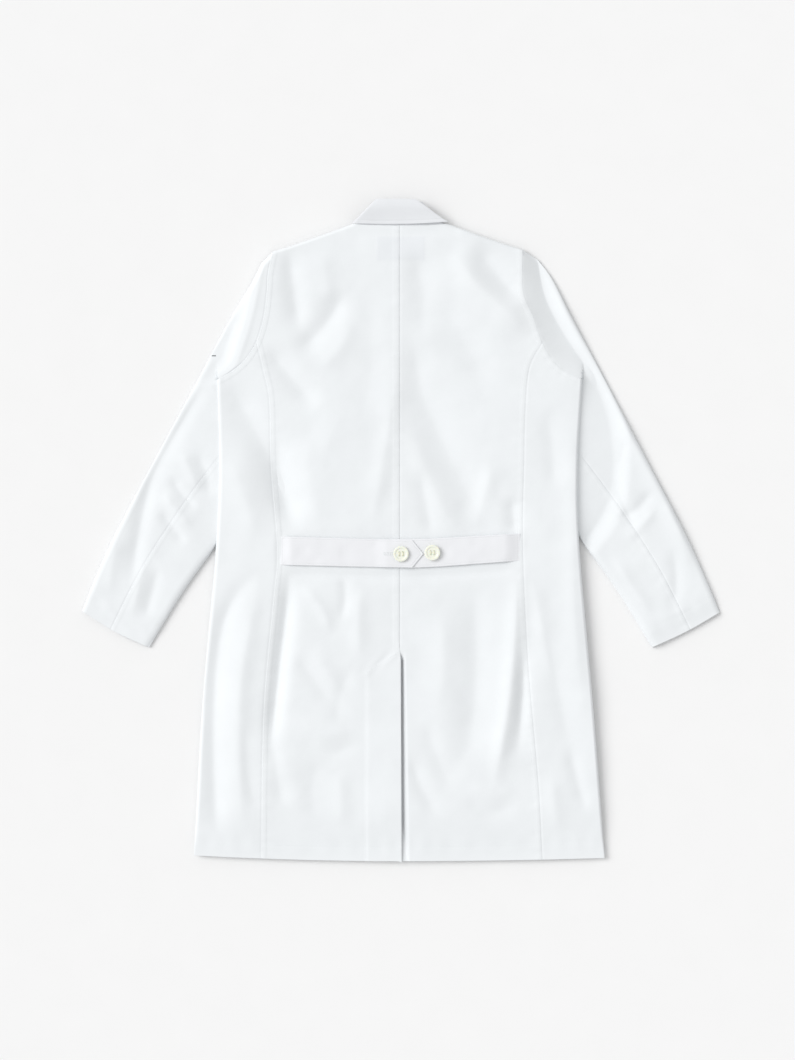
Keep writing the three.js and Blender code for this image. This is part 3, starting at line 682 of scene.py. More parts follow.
@dataclass(frozen=True)
class SideLines:
    """The seams and edges of one half of the coat, on its own side of X."""

    side: Side

    def signed(self, *points: tuple[float, float]) -> Path:
        """A curve through points that are given with X measured outwards."""
        path = Path.through(*points)
        return path.mirrored() if self.side is Side.LEFT else path

    @property
    def armhole(self) -> Path:
        """The armhole seam, from the shoulder tip to the armpit."""
        if self.side is Side.LEFT:
            return self.signed(
                (199, 434), (206, 400), (208, 372), (213, 332), (225, 292), (243, 264), (266, 245), (286, 234)
            )
        return self.signed(
            (190, 437), (190, 400), (192, 366), (207, 331), (219, 296), (236, 266), (256, 247), (283, 234)
        )

    @property
    def side_edge(self) -> Path:
        """The folded side, from the hem to the armpit."""
        top = self.armhole.points[-1]
        if self.side is Side.LEFT:
            return self.signed((322, -507), (309, -273), (288, -30), (283, 101), (abs(top[0]), top[1]))
        return self.signed((318, -511), (300, -273), (279, -30), (276, 101), (abs(top[0]), top[1]))

    @property
    def princess(self) -> Path:
        """The side-back seam, from the hem to the armhole."""
        x, y = self.armhole.at(np.array([self.princess_share]))[0]
        if self.side is Side.LEFT:
            return self.signed(
                (217, self.hem_height(217)), (213, -281), (198, -110), (192, -30), (202, 100), (204, 199),
                (213, 247), (abs(x), y),
            )  # fmt: skip
        return self.signed(
            (221, self.hem_height(221)), (214, -390), (199, -215), (191, -60), (190, 20), (192, 103),
            (194, 183), (200, 251), (abs(x), y),
        )  # fmt: skip

    @property
    def princess_share(self) -> float:
        """Where the side-back seam meets the armhole, as a share of the armhole."""
        return 0.62 if self.side is Side.LEFT else 0.63

    @property
    def shoulder(self) -> Path:
        """The shoulder fold, from the shoulder tip to the neck."""
        x, y = self.armhole.points[0]
        return self.signed((abs(x), y), (166, 444.5), (120, 460.5), (76, 476.5))

    def hem_height(self, x: float) -> float:
        """How high the hem lies at X."""
        corner = 9.0 if self.side is Side.LEFT else 5.0
        return HEM + corner * (x / 320.0) ** 2

    def hem(self, inner: float, outer: float) -> Path:
        """The hem between two distances from the middle."""
        xs = np.linspace(inner, outer, 9)
        path = Path(np.stack([xs, [self.hem_height(x) for x in xs]], -1))
        return path.mirrored() if self.side is Side.LEFT else path

    # sleeve -----------------------------------------------------------------

    @property
    def sleeve_outer(self) -> Path:
        """The outer fold of the sleeve, from the cuff to its head."""
        if self.side is Side.LEFT:
            points = ((497, -126), (452, -20), (383, 110), (316, 235), (262, 335), (233, 384), (217, 416))
        else:
            points = ((498, -128), (447, -12), (380, 117), (318, 236), (268, 330), (238, 389), (214, 421))
        return self.signed(*points)

    @property
    def cuff(self) -> Path:
        """The open end of the sleeve, from its inner to its outer corner."""
        return self.signed((392, -183), (446, -158), *[tuple(np.abs(self.sleeve_outer.points[0]) * (1, -1))])

    @property
    def sleeve_inner(self) -> Path:
        """The inner fold of the sleeve, from the cuff to under the side of the body."""
        return self.signed((392, -183), (340, -98), (283, -17), (266, 20), (258, 70), (257, 127))

    @property
    def elbow(self) -> Path:
        """The elbow seam, from the cuff to under the side of the body."""
        x, y = self.cuff.at(np.array([0.55]))[0]
        return self.signed((abs(x), y), (403, -60), (345, 30), (292, 102), (263, 134))


def build_lines() -> dict[Side, SideLines]:
    """The lines of both halves."""
    return {side: SideLines(side) for side in Side}


LINES = build_lines()
CENTRE_BACK = Path.line((CENTRE, HEM), (CENTRE, 473.6))
NECK_LINE = {s: Path.line((CENTRE, 473.6), (s.value * 40, 474.2), (s.value * 76, 476.5)) for s in Side}


def silhouette(side: Side) -> Path:
    """The sleeve's outer fold, the sleeve head and the shoulder as one line, from the cuff to the neck."""
    lines = LINES[side]
    return Path(np.vstack([lines.sleeve_outer.points, lines.shoulder.points]))


# ------------------------------------------------------------------------------- how the back lies

BACK_FOLDS: tuple[Fold, ...] = (
    # upper back, from the shoulders to the belt
    fold(-6.0, 17, (-176, 446), (-166, 375), (-156, 300)),
    fold(2.4, 16, (-120, 436), (-116, 390), (-108, 350)),
    fold(-5.4, 17, (-82, 376), (-120, 316), (-166, 272)),
    fold(2.4, 16, (-72, 330), (-96, 280), (-132, 246)),
    fold(-5.6, 17, (-212, 290), (-176, 244), (-126, 186)),
    fold(-8.0, 26, (-272, 238), (-224, 150), (-184, 66), (-158, -14), fade=0.22),
    fold(3.0, 20, (-268, 120), (-246, 60), (-222, -20)),
    fold(-3.6, 18, (-190, 170), (-186, 70), (-166, -14)),
    fold(2.4, 20, (-150, 150), (-140, 70), (-130, 0)),
    fold(-6.4, 28, (18, 330), (30, 225), (64, 140), (112, 44), (160, -20), fade=0.22),
    fold(7.0, 20, (80, 440), (114, 388), (156, 348), (204, 300)),
    fold(-4.6, 18, (112, 446), (152, 396), (190, 352)),
    fold(2.8, 15, (-4, 260), (-28, 100), (-48, -12)),
    fold(2.8, 18, (12, 170), (46, 76), (92, -12)),
    fold(-3.0, 13, (30, 96), (42, 30), (50, -18)),
    fold(3.0, 15, (146, 112), (130, 52), (114, -4)),
    fold(-4.2, 13, (172, 56), (176, 14), (180, -14), fade=0.35),
    fold(-2.6, 16, (229, 196), (236, 130), (240, 50)),
    fold(2.6, 16, (270, 204), (268, 60), (272, -150), (292, -330)),
    fold(-4.2, 26, (50, 370), (96, 300), (146, 210)),
    fold(1.8, 24, (-84, 200), (-120, 110), (-110, 40)),
    fold(-2.0, 24, (-52, 380), (-44, 260), (-66, 150)),
    fold(-4.0, 24, (18, 444), (34, 380), (36, 290)),
    # skirt, left half
    fold(-9.0, 12.5, (-172, -42), (-177, -120), (-188, -210), (-206, -370), fade=0.3),
    fold(4.4, 17, (-216, -56), (-234, -150), (-250, -270), (-246, -500), fade=0.28),
    fold(-5.8, 15, (-212, -52), (-262, -112), (-284, -190), (-291, -330), (-284, -520), fade=0.22),
    fold(-2.6, 14, (-200, -320), (-192, -380), (-180, -440)),
    fold(-2.6, 18, (-126, -350), (-138, -404), (-130, -460)),
    fold(2.6, 13, (-60, -80), (-66, -150), (-60, -210)),
    fold(-2.6, 9, (-92, -66), (-86, -100), (-92, -146)),
    fold(2.8, 11, (-156, -84), (-124, -120), (-106, -166)),
    fold(-2.2, 13, (-164, -190), (-132, -236), (-100, -280)),
    fold(2.2, 14, (-140, -180), (-108, -230), (-82, -272)),
    fold(-2.0, 13, (-72, -206), (-94, -256), (-100, -310)),
    fold(1.8, 14, (-170, -290), (-112, -318), (-60, -304)),
    fold(-1.8, 14, (-176, -320), (-118, -348), (-58, -328)),
    fold(2.2, 14, (-98, -372), (-92, -420), (-96, -470)),
    fold(-2.4, 15, (-242, -290), (-238, -380), (-220, -450)),
    # skirt, right half
    fold(6.2, 14, (183, -44), (177, -180), (165, -290), (140, -430), fade=0.3),
    fold(-6.0, 26, (112, -60), (118, -190), (112, -300), (84, -400)),
    fold(-5.0, 11, (193, -160), (190, -262), (180, -366), fade=0.4),
    fold(-2.6, 16, (222, -130), (244, -240), (266, -350)),
    fold(-3.2, 12, (262, -330), (276, -390), (292, -446)),
    fold(3.0, 14, (204, -66), (222, -160), (240, -256)),
    fold(-3.2, 13, (14, -344), (32, -400), (66, -456)),
    fold(-2.2, 14, (36, -290), (56, -350), (84, -410)),
    fold(-2.0, 15, (94, -412), (138, -440), (190, -426)),
    fold(1.4, 14, (104, -392), (146, -412), (180, -396)),
    fold(2.2, 18, (62, -110), (68, -200), (58, -290)),
    fold(2.4, 14, (236, -380), (240, -430), (250, -480)),
    # drawn in just below the belt
    fold(-2.6, 8, (-182, -66), (-80, -70), (16, -72), (100, -67), (186, -59), fade=0.08),
)
BACK_CRUMPLES = (Crumple(11, 84.0, 1.7), Crumple(12, 37.0, 0.62), Crumple(13, 14.0, 0.12))

CENTRE_SEAM = Seam(CENTRE_BACK, 1.0, width=10.5, rows=(2.2, 8.6), height=0.4)
PRINCESS_SEAMS = {s: Seam(LINES[s].princess, 1.0 if s is Side.RIGHT else -1.0, height=0.3) for s in Side}
ARMHOLE_SEAMS = {s: Seam(LINES[s].armhole, float(-s.value), height=0.35, ditch=0.25) for s in Side}
LABEL_BOX = (-38.0, 38.0, 419.0, 458.0)
HEM_TURN = 24.0
HEM_LEVEL = 8.6  # outer face of the back at its hem
HEM_FALL = 110.0  # how far above the hem the back begins to fall
INSIDE_TOP = 7.7  # as low as the back may dip before it meets the facings
VENT_TOP = -190.0


def above_hem(places: Points) -> np.ndarray:
    """How far above the hem places lie."""
    x, y = places.T
    return y - (HEM + 7 * (x / 320) ** 2)


def hem_ripple(places: Points) -> np.ndarray:
    """The doubled hem and the ripples that its stitching draws."""
    x = places[:, 0]
    d = above_hem(places)
    edge = 0.35 * ease((HEM_TURN - d) / 1.5) - 0.3 * np.exp(-(((d - HEM_TURN + 2) / 1.2) ** 2))
    ripple = 0.2 * np.sin(x / 5.2 + 2.2 * np.sin(x / 47)) * np.exp(-(((d - HEM_TURN) / 14) ** 2))
    return edge + ripple


def label_print(places: Points) -> np.ndarray:
    """1 where the label lies under the cloth, and 0 elsewhere."""
    x, y = places.T
    low, high, bottom, top = LABEL_BOX
    return ease((x - low) / 2) * ease((high - x) / 2) * ease((y - bottom) / 2) * ease((top - y) / 2)


def back_height(places: Points) -> np.ndarray:
    """The height of the outer face of the back."""
    x, y = places.T
    lift = sum(f.lift(places) for f in BACK_FOLDS) + sum(c.lift(places) for c in BACK_CRUMPLES)
    belt = np.exp(-np.abs((y - WAIST) / 30) ** 4) * ease((200 - np.abs(x)) / 12)
    lift = lift * (1 - 0.72 * belt) - 0.5 * belt
    lift = lift * (1 - 0.9 * ease((y - 452) / 18) * ease((96 - np.abs(x)) / 12))
    z = BACK_TOP + lift
    for side in Side:
        mine = x * side.value > 0
        inward = -LINES[side].side_edge.nearest(places)[0] * -side.value
        inward = np.where(mine, inward, 99.0)
        left = side is Side.LEFT
        z = np.where(mine, z - (2.2 if left else 0.4) * (1 - ease(inward / 60)), z)
        round_side = rounded(inward, 6.5 if left else 3.8)
        z = SIDE_EDGE + (z - SIDE_EDGE) * round_side
        shoulder = np.abs(LINES[side].shoulder.nearest(places)[0])
        z = np.where(mine, SIDE_EDGE + (z - SIDE_EDGE) * rounded(shoulder, 5.5), z)
    low = HEM_LEVEL + 1.3 * np.exp(-((x / 60) ** 2))
    z = z - np.maximum(z - low, 0) * (1 - ease(above_hem(places) / HEM_FALL)) ** 1.6
    z += CENTRE_SEAM.lift(places) * ease((y - VENT_TOP - 4) / 8)
    z += sum(s.lift(places) for s in PRINCESS_SEAMS.values())
    z += sum(s.lift(places) for s in ARMHOLE_SEAMS.values())
    z += hem_ripple(places) + 0.3 * label_print(places)
    return z


def vent_share(y: np.ndarray) -> np.ndarray:
    """How far down the vent Y lies, from 0 at its top to 1 at the hem."""
    return np.clip((VENT_TOP - y) / (VENT_TOP - HEM), 0, 1)


def left_back_height(places: Points) -> np.ndarray:
    """The left back, whose vent flap lies doubled and a little proud."""
    x, y = places.T
    z = back_height(places)
    diagonal = Path.line((CENTRE, -186), (-53, -220))
    below = Path.line((40, -159), (-92, -245)).nearest(places)[0]
    z += 0.8 * ease((below + 0.5) / 3) * ease((x + 56) / 5)
    vertical = Path.line((-53, -220), (-54, -513))
    for row in (diagonal, vertical):
        d = np.abs(row.nearest(places)[0])
        z -= 0.45 * np.exp(-((d / 1.4) ** 2))
    pucker = np.exp(-((diagonal.nearest(places)[0] / 9) ** 2))
    return z + 0.5 * pucker * np.sin((x - 0.6 * y) / 4.0)


def right_back_height(places: Points) -> np.ndarray:
    """The right back, which dips beside and below the vent flap."""
    x, y = places.T
    share = vent_share(y)
    depth = 7.5 * ease(share / 0.05)
    reach = 7 + 7 * share
    z = back_height(places)
    return np.maximum(z - depth * (1 - ease((x - 1.0) / reach)), np.minimum(z, INSIDE_TOP))


def side_height(side: Side) -> Relief:
    """The side panel, whose inner edge runs on below the seam strip."""

    def height(places: Points) -> np.ndarray:
        beyond = PRINCESS_SEAMS[side].line.nearest(places)[0] * (1 if side is Side.RIGHT else -1)
        return back_height(places) - 0.75 * ease(beyond / 0.8)

    return height


# ------------------------------------------------------------------------------- back of the coat


@dataclass
class Back:
    """The two back panels, the two side panels and the vent."""

    pitch: float = 2.9
    vent_ride: Ride = Ride("coat_body", "vent", (-9.5, -192.0), (9.4, -195.0))

    def hem_layers(self, places: Points) -> np.ndarray:
        """1 in the turned hem and on the strips of the seams."""
        x, y = places.T
        return ease((HEM_TURN - (y - HEM - 7 * (x / 320) ** 2)) / 1.5)

    def back_patch(self, side: Side) -> Patch:
        """The outline of one back panel."""
        lines = LINES[side]
        outer = lines.princess.joined(lines.armhole.part(0, lines.princess_share).flipped())
        top = NECK_LINE[side].joined(lines.shoulder.flipped())
        if side is Side.RIGHT:
            inner = Path.line((CENTRE, HEM), (CENTRE, 473.6))
            hem = Path(np.vstack([[[CENTRE, HEM]], lines.hem(4, 221).points]))
            return Patch(inner, Path(np.vstack([outer.points[:-1], top.points[-1]])), hem, top)
        inner = Path.line((1.8, HEM - 2), (0.2, -200), (CENTRE, -186), (CENTRE, 473.6))
        hem = Path(np.vstack([lines.hem(4, 217).flipped().points, [[1.8, HEM - 2]]]))
        left = Path(np.vstack([outer.points[:-1], top.points[-1]]))
        return Patch(left, inner, hem, top.flipped())

    def side_patch(self, side: Side) -> Patch:
        """The outline of one side panel, 4 mm of which lies below the back panel."""
        lines = LINES[side]
        inner = lines.princess.beside(4.0 if side is Side.RIGHT else -4.0)
        share = lines.princess_share
        under = lines.armhole.part(share - 0.012, 1.0)
        inner = Path(np.vstack([inner.points[:-1], under.points[0]]))
        foot = inner.points[0]
        near = 221 if side is Side.RIGHT else 217
        far = abs(lines.side_edge.points[0][0])
        hem = Path(np.vstack([[foot], lines.hem(near, far).points[1:]]))
        if side is Side.RIGHT:
            return Patch(inner, lines.side_edge, hem, under)
        return Patch(lines.side_edge, inner, hem.flipped(), under.flipped())

    def build(self) -> None:
        """Weaves the panels and the layer under the vent."""
        for side in Side:
            patch = self.back_patch(side)
            flat, area = cut_size(patch)
            left = side is Side.LEFT
            Sheet(
                f"back_panel_cloth_{side.word}",
                (f"back_panel_{side.word}", "vent_flap") if left else (f"back_panel_{side.word}",),
                over(patch, left_back_height if left else right_back_height),
                ticks(205, self.pitch, low=13, high=13), ticks(990, self.pitch, low=6, high=6),
                flat, area, ride=self.vent_ride if left else BODY, turned=self.hem_layers, backed=label_print,
                rests_on=("front_panel_cloth_left",),
            ).weave()  # fmt: skip
            patch = self.side_patch(side)
            flat, area = cut_size(patch)
            low, high = (12, 11) if side is Side.RIGHT else (11, 12)
            Sheet(
                f"side_panel_cloth_{side.word}", (f"side_panel_{side.word}",), over(patch, side_height(side)),
                ticks(100, 2.6, low=low, high=high), ticks(760, self.pitch, low=6, high=10),
                flat, area, turned=self.hem_layers, rests_on=(f"front_panel_cloth_{side.word}",),
            ).weave()  # fmt: skip
        underlap = Patch(
            Path.line((-50, HEM + 1), (-46, -222)), Path.line((CENTRE + 1, HEM + 1), (CENTRE + 1, -196)),
            Path.line((-50, HEM + 1), (CENTRE + 1, HEM + 1)), Path.line((-46, -222), (CENTRE + 1, -196)),
        )  # fmt: skip
        flat, area = cut_size(underlap)
        Sheet(
            "vent_underlap_cloth", ("vent_underlap",),
            over(underlap, lambda p: right_back_height(p * (0, 1)) - 0.9),
            ticks(50, 5.0), ticks(320, 5.0), flat, area, turned=self.hem_layers,
            rests_on=("front_panel_cloth_left",),
        ).weave()  # fmt: skip


@dataclass
class BackSeams:
    """The stitching on the back of the coat."""

    hem_row: float = 22.0

    def build(self) -> None:
        """Sews the seams of the body, of the vent and of the hem."""
        body = Stitching("stitching_back", BODY, back_height)
        for side in Side:
            body.rows += PRINCESS_SEAMS[side].stitch_rows(0.004, 0.995)
            body.rows += ARMHOLE_SEAMS[side].stitch_rows(0.02, 0.97)
            shoulder = LINES[side].shoulder
            body.rows.append(shoulder.beside(7.0 if side is Side.LEFT else -7.0).part(0.03, 0.97))
        xs = np.linspace(216, 312, 24)
        for side in Side:
            row = [(side.value * x, HEM + 7 * (x / 320) ** 2 + self.hem_row) for x in xs]
            body.rows.append(Path(np.array(row)))
        body.rows += [r for r in CENTRE_SEAM.stitch_rows((VENT_TOP + 4 - HEM) / 989.6, 0.995)]
        body.sew()
        vent = Stitching("stitching_vent", Back().vent_ride, left_back_height)
        vent.rows += [Path.line((-3, -187), (-53, -220)), Path.line((-54, -222), (-55, -512))]
        vent.rows += [Path.line((-3.5, -190.2), (-53, -222.6)), Path.line((0.0 - 1.2, -204), (0.2, -512))]
        vent.rows.append(Path.line((-3, HEM + self.hem_row), (-214, HEM + 3.2 + self.hem_row)))
        vent.sew()
        right = Stitching("stitching_hem_right", BODY, right_back_height)
        right.rows.append(Path.line((8, HEM + self.hem_row), (218, HEM + 3.4 + self.hem_row)))
        right.sew()


# ------------------------------------------------------------------------------- sleeves

SLEEVE_FLOOR = 0.9
SLEEVE_TOP = 10.0
SLEEVE_EDGE = 4.4
SLEEVE_FOLDS: dict[Side, tuple[Fold, ...]] = {
    Side.LEFT: (
        fold(-4.6, 13, (-296, 240), (-346, 158), (-388, 78), (-412, -30), (-420, -98), fade=0.2),
        fold(2.6, 16, (-332, 240), (-374, 168), (-420, 60), (-448, -20)),
        fold(-3.0, 8, (-360, 88), (-338, 52), (-314, 30)),
        fold(2.8, 9, (-372, 62), (-346, 26), (-320, 2)),
        fold(-2.8, 8, (-376, 30), (-352, 0), (-332, -24)),
        fold(-2.4, 9, (-320, 124), (-304, 90), (-296, 46)),
        fold(2.4, 10, (-344, 130), (-326, 88), (-312, 56)),
        fold(2.0, 12, (-440, -10), (-450, -60), (-452, -104)),
        fold(-2.6, 10, (-376, -54), (-388, -100), (-400, -144)),
        fold(2.0, 10, (-396, -40), (-408, -90), (-420, -140)),
        fold(-2.2, 10, (-258, 340), (-276, 296), (-304, 256)),
    ),
    Side.RIGHT: (
        fold(2.6, 14, (234, 392), (266, 316), (322, 218), (378, 118), (428, 16), (458, -90), fade=0.14),
        fold(-2.4, 9, (300, 128), (324, 84), (352, 30), (380, -36)),
        fold(-2.6, 9, (396, 64), (368, 32), (338, 14)),
        fold(2.4, 9, (402, 38), (374, 6), (348, -14)),
        fold(-2.4, 10, (424, -24), (430, -80), (424, -132)),
        fold(2.2, 10, (330, -36), (362, -90), (394, -134)),
        fold(-2.2, 9, (352, 150), (340, 110), (318, 86)),
    ),
}
# The right sleeve falls from the armhole, and from under the side of the body, to the foot of a valley.
RIGHT_FOOT = Path.through(
    (210, 446), (222, 375), (239, 333), (265, 289), (294, 246), (318, 190), (330, 125), (328, 66), (312, 20),
    (290, -12),
)  # fmt: skip
RIGHT_FOOT_LEVEL = 3.0
# The left sleeve head stands up as a ridge and then steps down to the sleeve.
LEFT_RIDGE = Path.through(
    (-204, 440), (-216, 418), (-224, 375), (-236, 323), (-247, 289), (-260, 256), (-286, 226), (-300, 190)
)
SLEEVE_CRUMPLES = (Crumple(21, 66.0, 1.5), Crumple(22, 30.0, 0.6), Crumple(23, 12.0, 0.12))


@dataclass
class Sleeve:
    """A two-piece sleeve: the top sleeve wraps round the outer fold, the under sleeve closes the inside."""

    side: Side
    round_outer: float = 9.0
    round_inner: float = 12.0
    cuff_turn: float = 28.0

    @property
    def sign(self) -> int:
        """The sign of X on this side."""
        return self.side.value

    def ride(self) -> Ride:
        """The sleeve's two bodies, and two points between the armhole and the elbow."""
        tip, way = np.array([self.sign * 188.0, 438.0]), np.array([self.sign * 0.55, -0.835])
        start, end = tip + 222 * way, tip + 400 * way
        return Ride("coat_body", f"sleeve_{self.side.word}", tuple(start), tuple(end))

    def inner_line(self) -> Path:
        """The inner edge, and then the line under the side of the body up to the armpit."""
        lines = LINES[self.side]
        under = lines.signed((257, 127), (262, 180), tuple(np.abs(lines.armhole.points[-1])))
        return lines.sleeve_inner.joined(under)

    def seam(self) -> Seam:
        """The elbow seam, with its strip on the under sleeve."""
        inside = 1.0 if self.side is Side.RIGHT else -1.0
        return Seam(LINES[self.side].elbow, inside, width=7.0, height=0.22, rows=(1.6,), ditch=0.45)

    def edges(self, places: Points) -> tuple[np.ndarray, np.ndarray]:
        """How far in from the outer and from the inner fold places lie."""
        outer = np.abs(silhouette(self.side).nearest(places)[0])
        inner = np.abs(self.inner_line().nearest(places)[0])
        return outer, inner

    def upper(self, places: Points) -> np.ndarray:
        """The height of the upper layer's outer face."""
        lines = LINES[self.side]
        outer, inner = self.edges(places)
        z = SLEEVE_TOP + sum(c.lift(places) for c in SLEEVE_CRUMPLES)
        z = z + sum(f.lift(places) for f in SLEEVE_FOLDS[self.side])
        from_armhole = np.abs(lines.armhole.nearest(places)[0])
        on_body = np.minimum(back_height(places), 18.5)
        if self.side is Side.RIGHT:
            z = self.right_valley(places, z, from_armhole, on_body)
        else:
            beyond = -LEFT_RIDGE.nearest(places)[0]
            above = ease((places[:, 1] - 222) / 16)
            join = (1 - ease((beyond + 1.5) / 26)) * above
            crest = 0.6 * np.exp(-(((beyond + 3) / 4.0) ** 2)) * above
            trough = 2.6 * ease((beyond - 2) / 12) * (1 - ease((beyond - 12) / 46)) * above
            z = (z - trough) * (1 - join) + (on_body + crest) * join
        z = SLEEVE_EDGE + (z - SLEEVE_EDGE) * rounded(outer, self.round_outer)
        low_inside = rounded(inner, self.round_inner)
        low_inside = low_inside + (1 - low_inside) * ease(1 - from_armhole / 16)
        z = SLEEVE_EDGE + (z - SLEEVE_EDGE) * low_inside
        cuff = np.abs(lines.cuff.nearest(places)[0])
        z -= 2.6 * (1 - ease(cuff / 40)) ** 1.4
        z += self.seam().lift(places) * ease((inner - 2) / 8)
        z -= 0.35 * np.exp(-(((cuff - self.cuff_turn) / 1.3) ** 2))
        z += 0.28 * np.sin((places[:, 0] * 0.9 + places[:, 1] * 0.45) / 4.4) * np.exp(
            -(((cuff - self.cuff_turn) / 12) ** 2)
        )
        exact = 1 - ease(from_armhole / 2.0)
        return z * (1 - exact) + (back_height(places) - 0.2) * exact

    def right_valley(
        self, places: Points, z: np.ndarray, from_armhole: np.ndarray, on_body: np.ndarray
    ) -> np.ndarray:
        """Lets the right sleeve fall away from the body into a valley that faces away from the light.

        Args:
            places: points of the sleeve.
            z: its height without the valley.
            from_armhole: how far each point lies from the armhole.
            on_body: the height of the back at each point.

        Returns:
            The height with the valley.
        """
        foot = RIGHT_FOOT.nearest(places)[0]
        from_side = np.abs(LINES[self.side].side_edge.nearest(places)[0])
        start = np.where(from_armhole < from_side + 2, on_body, 8.0)
        from_body = np.minimum(from_armhole, from_side)
        fall = np.clip(from_body / np.maximum(from_body + np.abs(foot), 1e-6), 0, 1)
        wall = RIGHT_FOOT_LEVEL + (start - RIGHT_FOOT_LEVEL) * (1 - fall)
        rise = RIGHT_FOOT_LEVEL + (z - RIGHT_FOOT_LEVEL) * ease(foot / 30)
        return np.where(foot < 0, wall, rise)

    def lower(self, places: Points) -> np.ndarray:
        """The height of the lower layer's outer face, which lies on the floor."""
        outer, inner = self.edges(places)
        floor = SLEEVE_FLOOR + 0.25 * (1 + np.sin(places[:, 0] / 23) * np.sin(places[:, 1] / 31))
        from_armhole = np.abs(LINES[self.side].armhole.nearest(places)[0])
        floor = floor + (FRONT_FACE - 0.5 - floor) * (1 - ease(from_armhole / 40))
        rise = rounded(outer, self.round_outer) * rounded(inner, self.round_inner)
        return SLEEVE_EDGE + (floor - SLEEVE_EDGE) * rise

    def layers(self, places: Points) -> np.ndarray:
        """1 in the turned end of the sleeve."""
        return ease((self.cuff_turn - np.abs(LINES[self.side].cuff.nearest(places)[0])) / 1.5)

    def build(self) -> None:
        """Weaves both pieces and sews their seams."""
        lines, word = LINES[self.side], self.side.word
        hidden = Path.line((self.sign * 259.2, 150), (self.sign * 262, 180), tuple(lines.armhole.points[-1]))
        from_elbow = lines.elbow.joined(hidden, lines.armhole.flipped())
        head = Path(np.vstack([lines.armhole.points[0], lines.sleeve_outer.points[-1]]))
        cuff_outer, cuff_inner = lines.cuff.part(0.55, 1.0), lines.cuff.part(0.0, 0.55)
        upper = Patch(from_elbow, lines.sleeve_outer, cuff_outer, head)
        round_back = self.inner_line().joined(lines.armhole.flipped())
        lower = Patch(lines.sleeve_outer, round_back, lines.cuff.flipped(), head.flipped())
        first = ticks(115, 2.7, low=9, high=11)
        second = ticks(150, 4.2, low=11, high=8)

        def wrap(u: np.ndarray, v: np.ndarray) -> Points:
            on_top = u <= 1.0
            a, b = upper.at(np.clip(u, 0, 1), v), lower.at(np.clip(u - 1, 0, 1), v)
            places = np.where(on_top[:, None], a, b)
            return np.column_stack([places, np.where(on_top, self.upper(places), self.lower(places))])

        turn = 28.0 * self.sign
        flat, area = cut_size(upper, lower)
        Sheet(
            f"top_sleeve_cloth_{word}", (f"top_sleeve_{word}",), wrap,
            np.concatenate([first, 1 + second[1:]]), ticks(660, 3.0, low=12, high=10), flat, area,
            ride=self.ride(), underside=self.side is Side.LEFT, turned=self.layers, grain=turn,
        ).weave()  # fmt: skip
        end = Path.line(tuple(lines.sleeve_inner.points[-1]), tuple(lines.elbow.points[-1]))
        under = Patch(lines.sleeve_inner, lines.elbow, cuff_inner, end)
        flat, area = cut_size(under)
        Sheet(
            f"under_sleeve_cloth_{word}", (f"under_sleeve_{word}",), over(under, self.upper),
            ticks(66, 2.6, low=9, high=9), ticks(340, 2.8, low=12), flat, area,
            ride=self.ride(), underside=self.side is Side.LEFT, turned=self.layers, grain=turn,
        ).weave()  # fmt: skip
        rows = Stitching(f"stitching_sleeve_{word}", self.ride(), self.upper)
        rows.rows += self.seam().stitch_rows(0.01, 0.9)
        cuff = lines.cuff.beside(self.cuff_turn if self.side is Side.RIGHT else -self.cuff_turn)
        rows.rows.append(cuff.part(0.04, 0.97))
        rows.sew()


@dataclass
class BarTack:
    """The short dark bar tack on the left sleeve."""

    x: float = -291.0
    y: float = 271.5
    length: float = 6.0
    width: float = 2.0

    def build(self) -> None:
        """Sews the tack as close satin stitches across its length."""
        sleeve = Sleeve(Side.LEFT)
        tack = Stitching(
            "bar_tack_thread", sleeve.ride(), sleeve.upper, DARK_THREAD,
            length=self.width, pitch=self.width, width=0.6,
        )
        for k in range(11):
            x = self.x + (k / 10 - 0.5) * self.length
            half = self.width / 2 + 0.05
            tack.rows.append(Path.line((x, self.y - half), (x + 0.1, self.y + half)))
        piece = tack.sew()
        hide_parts("sleeve_bar_tack")


# ------------------------------------------------------------------------------- fronts


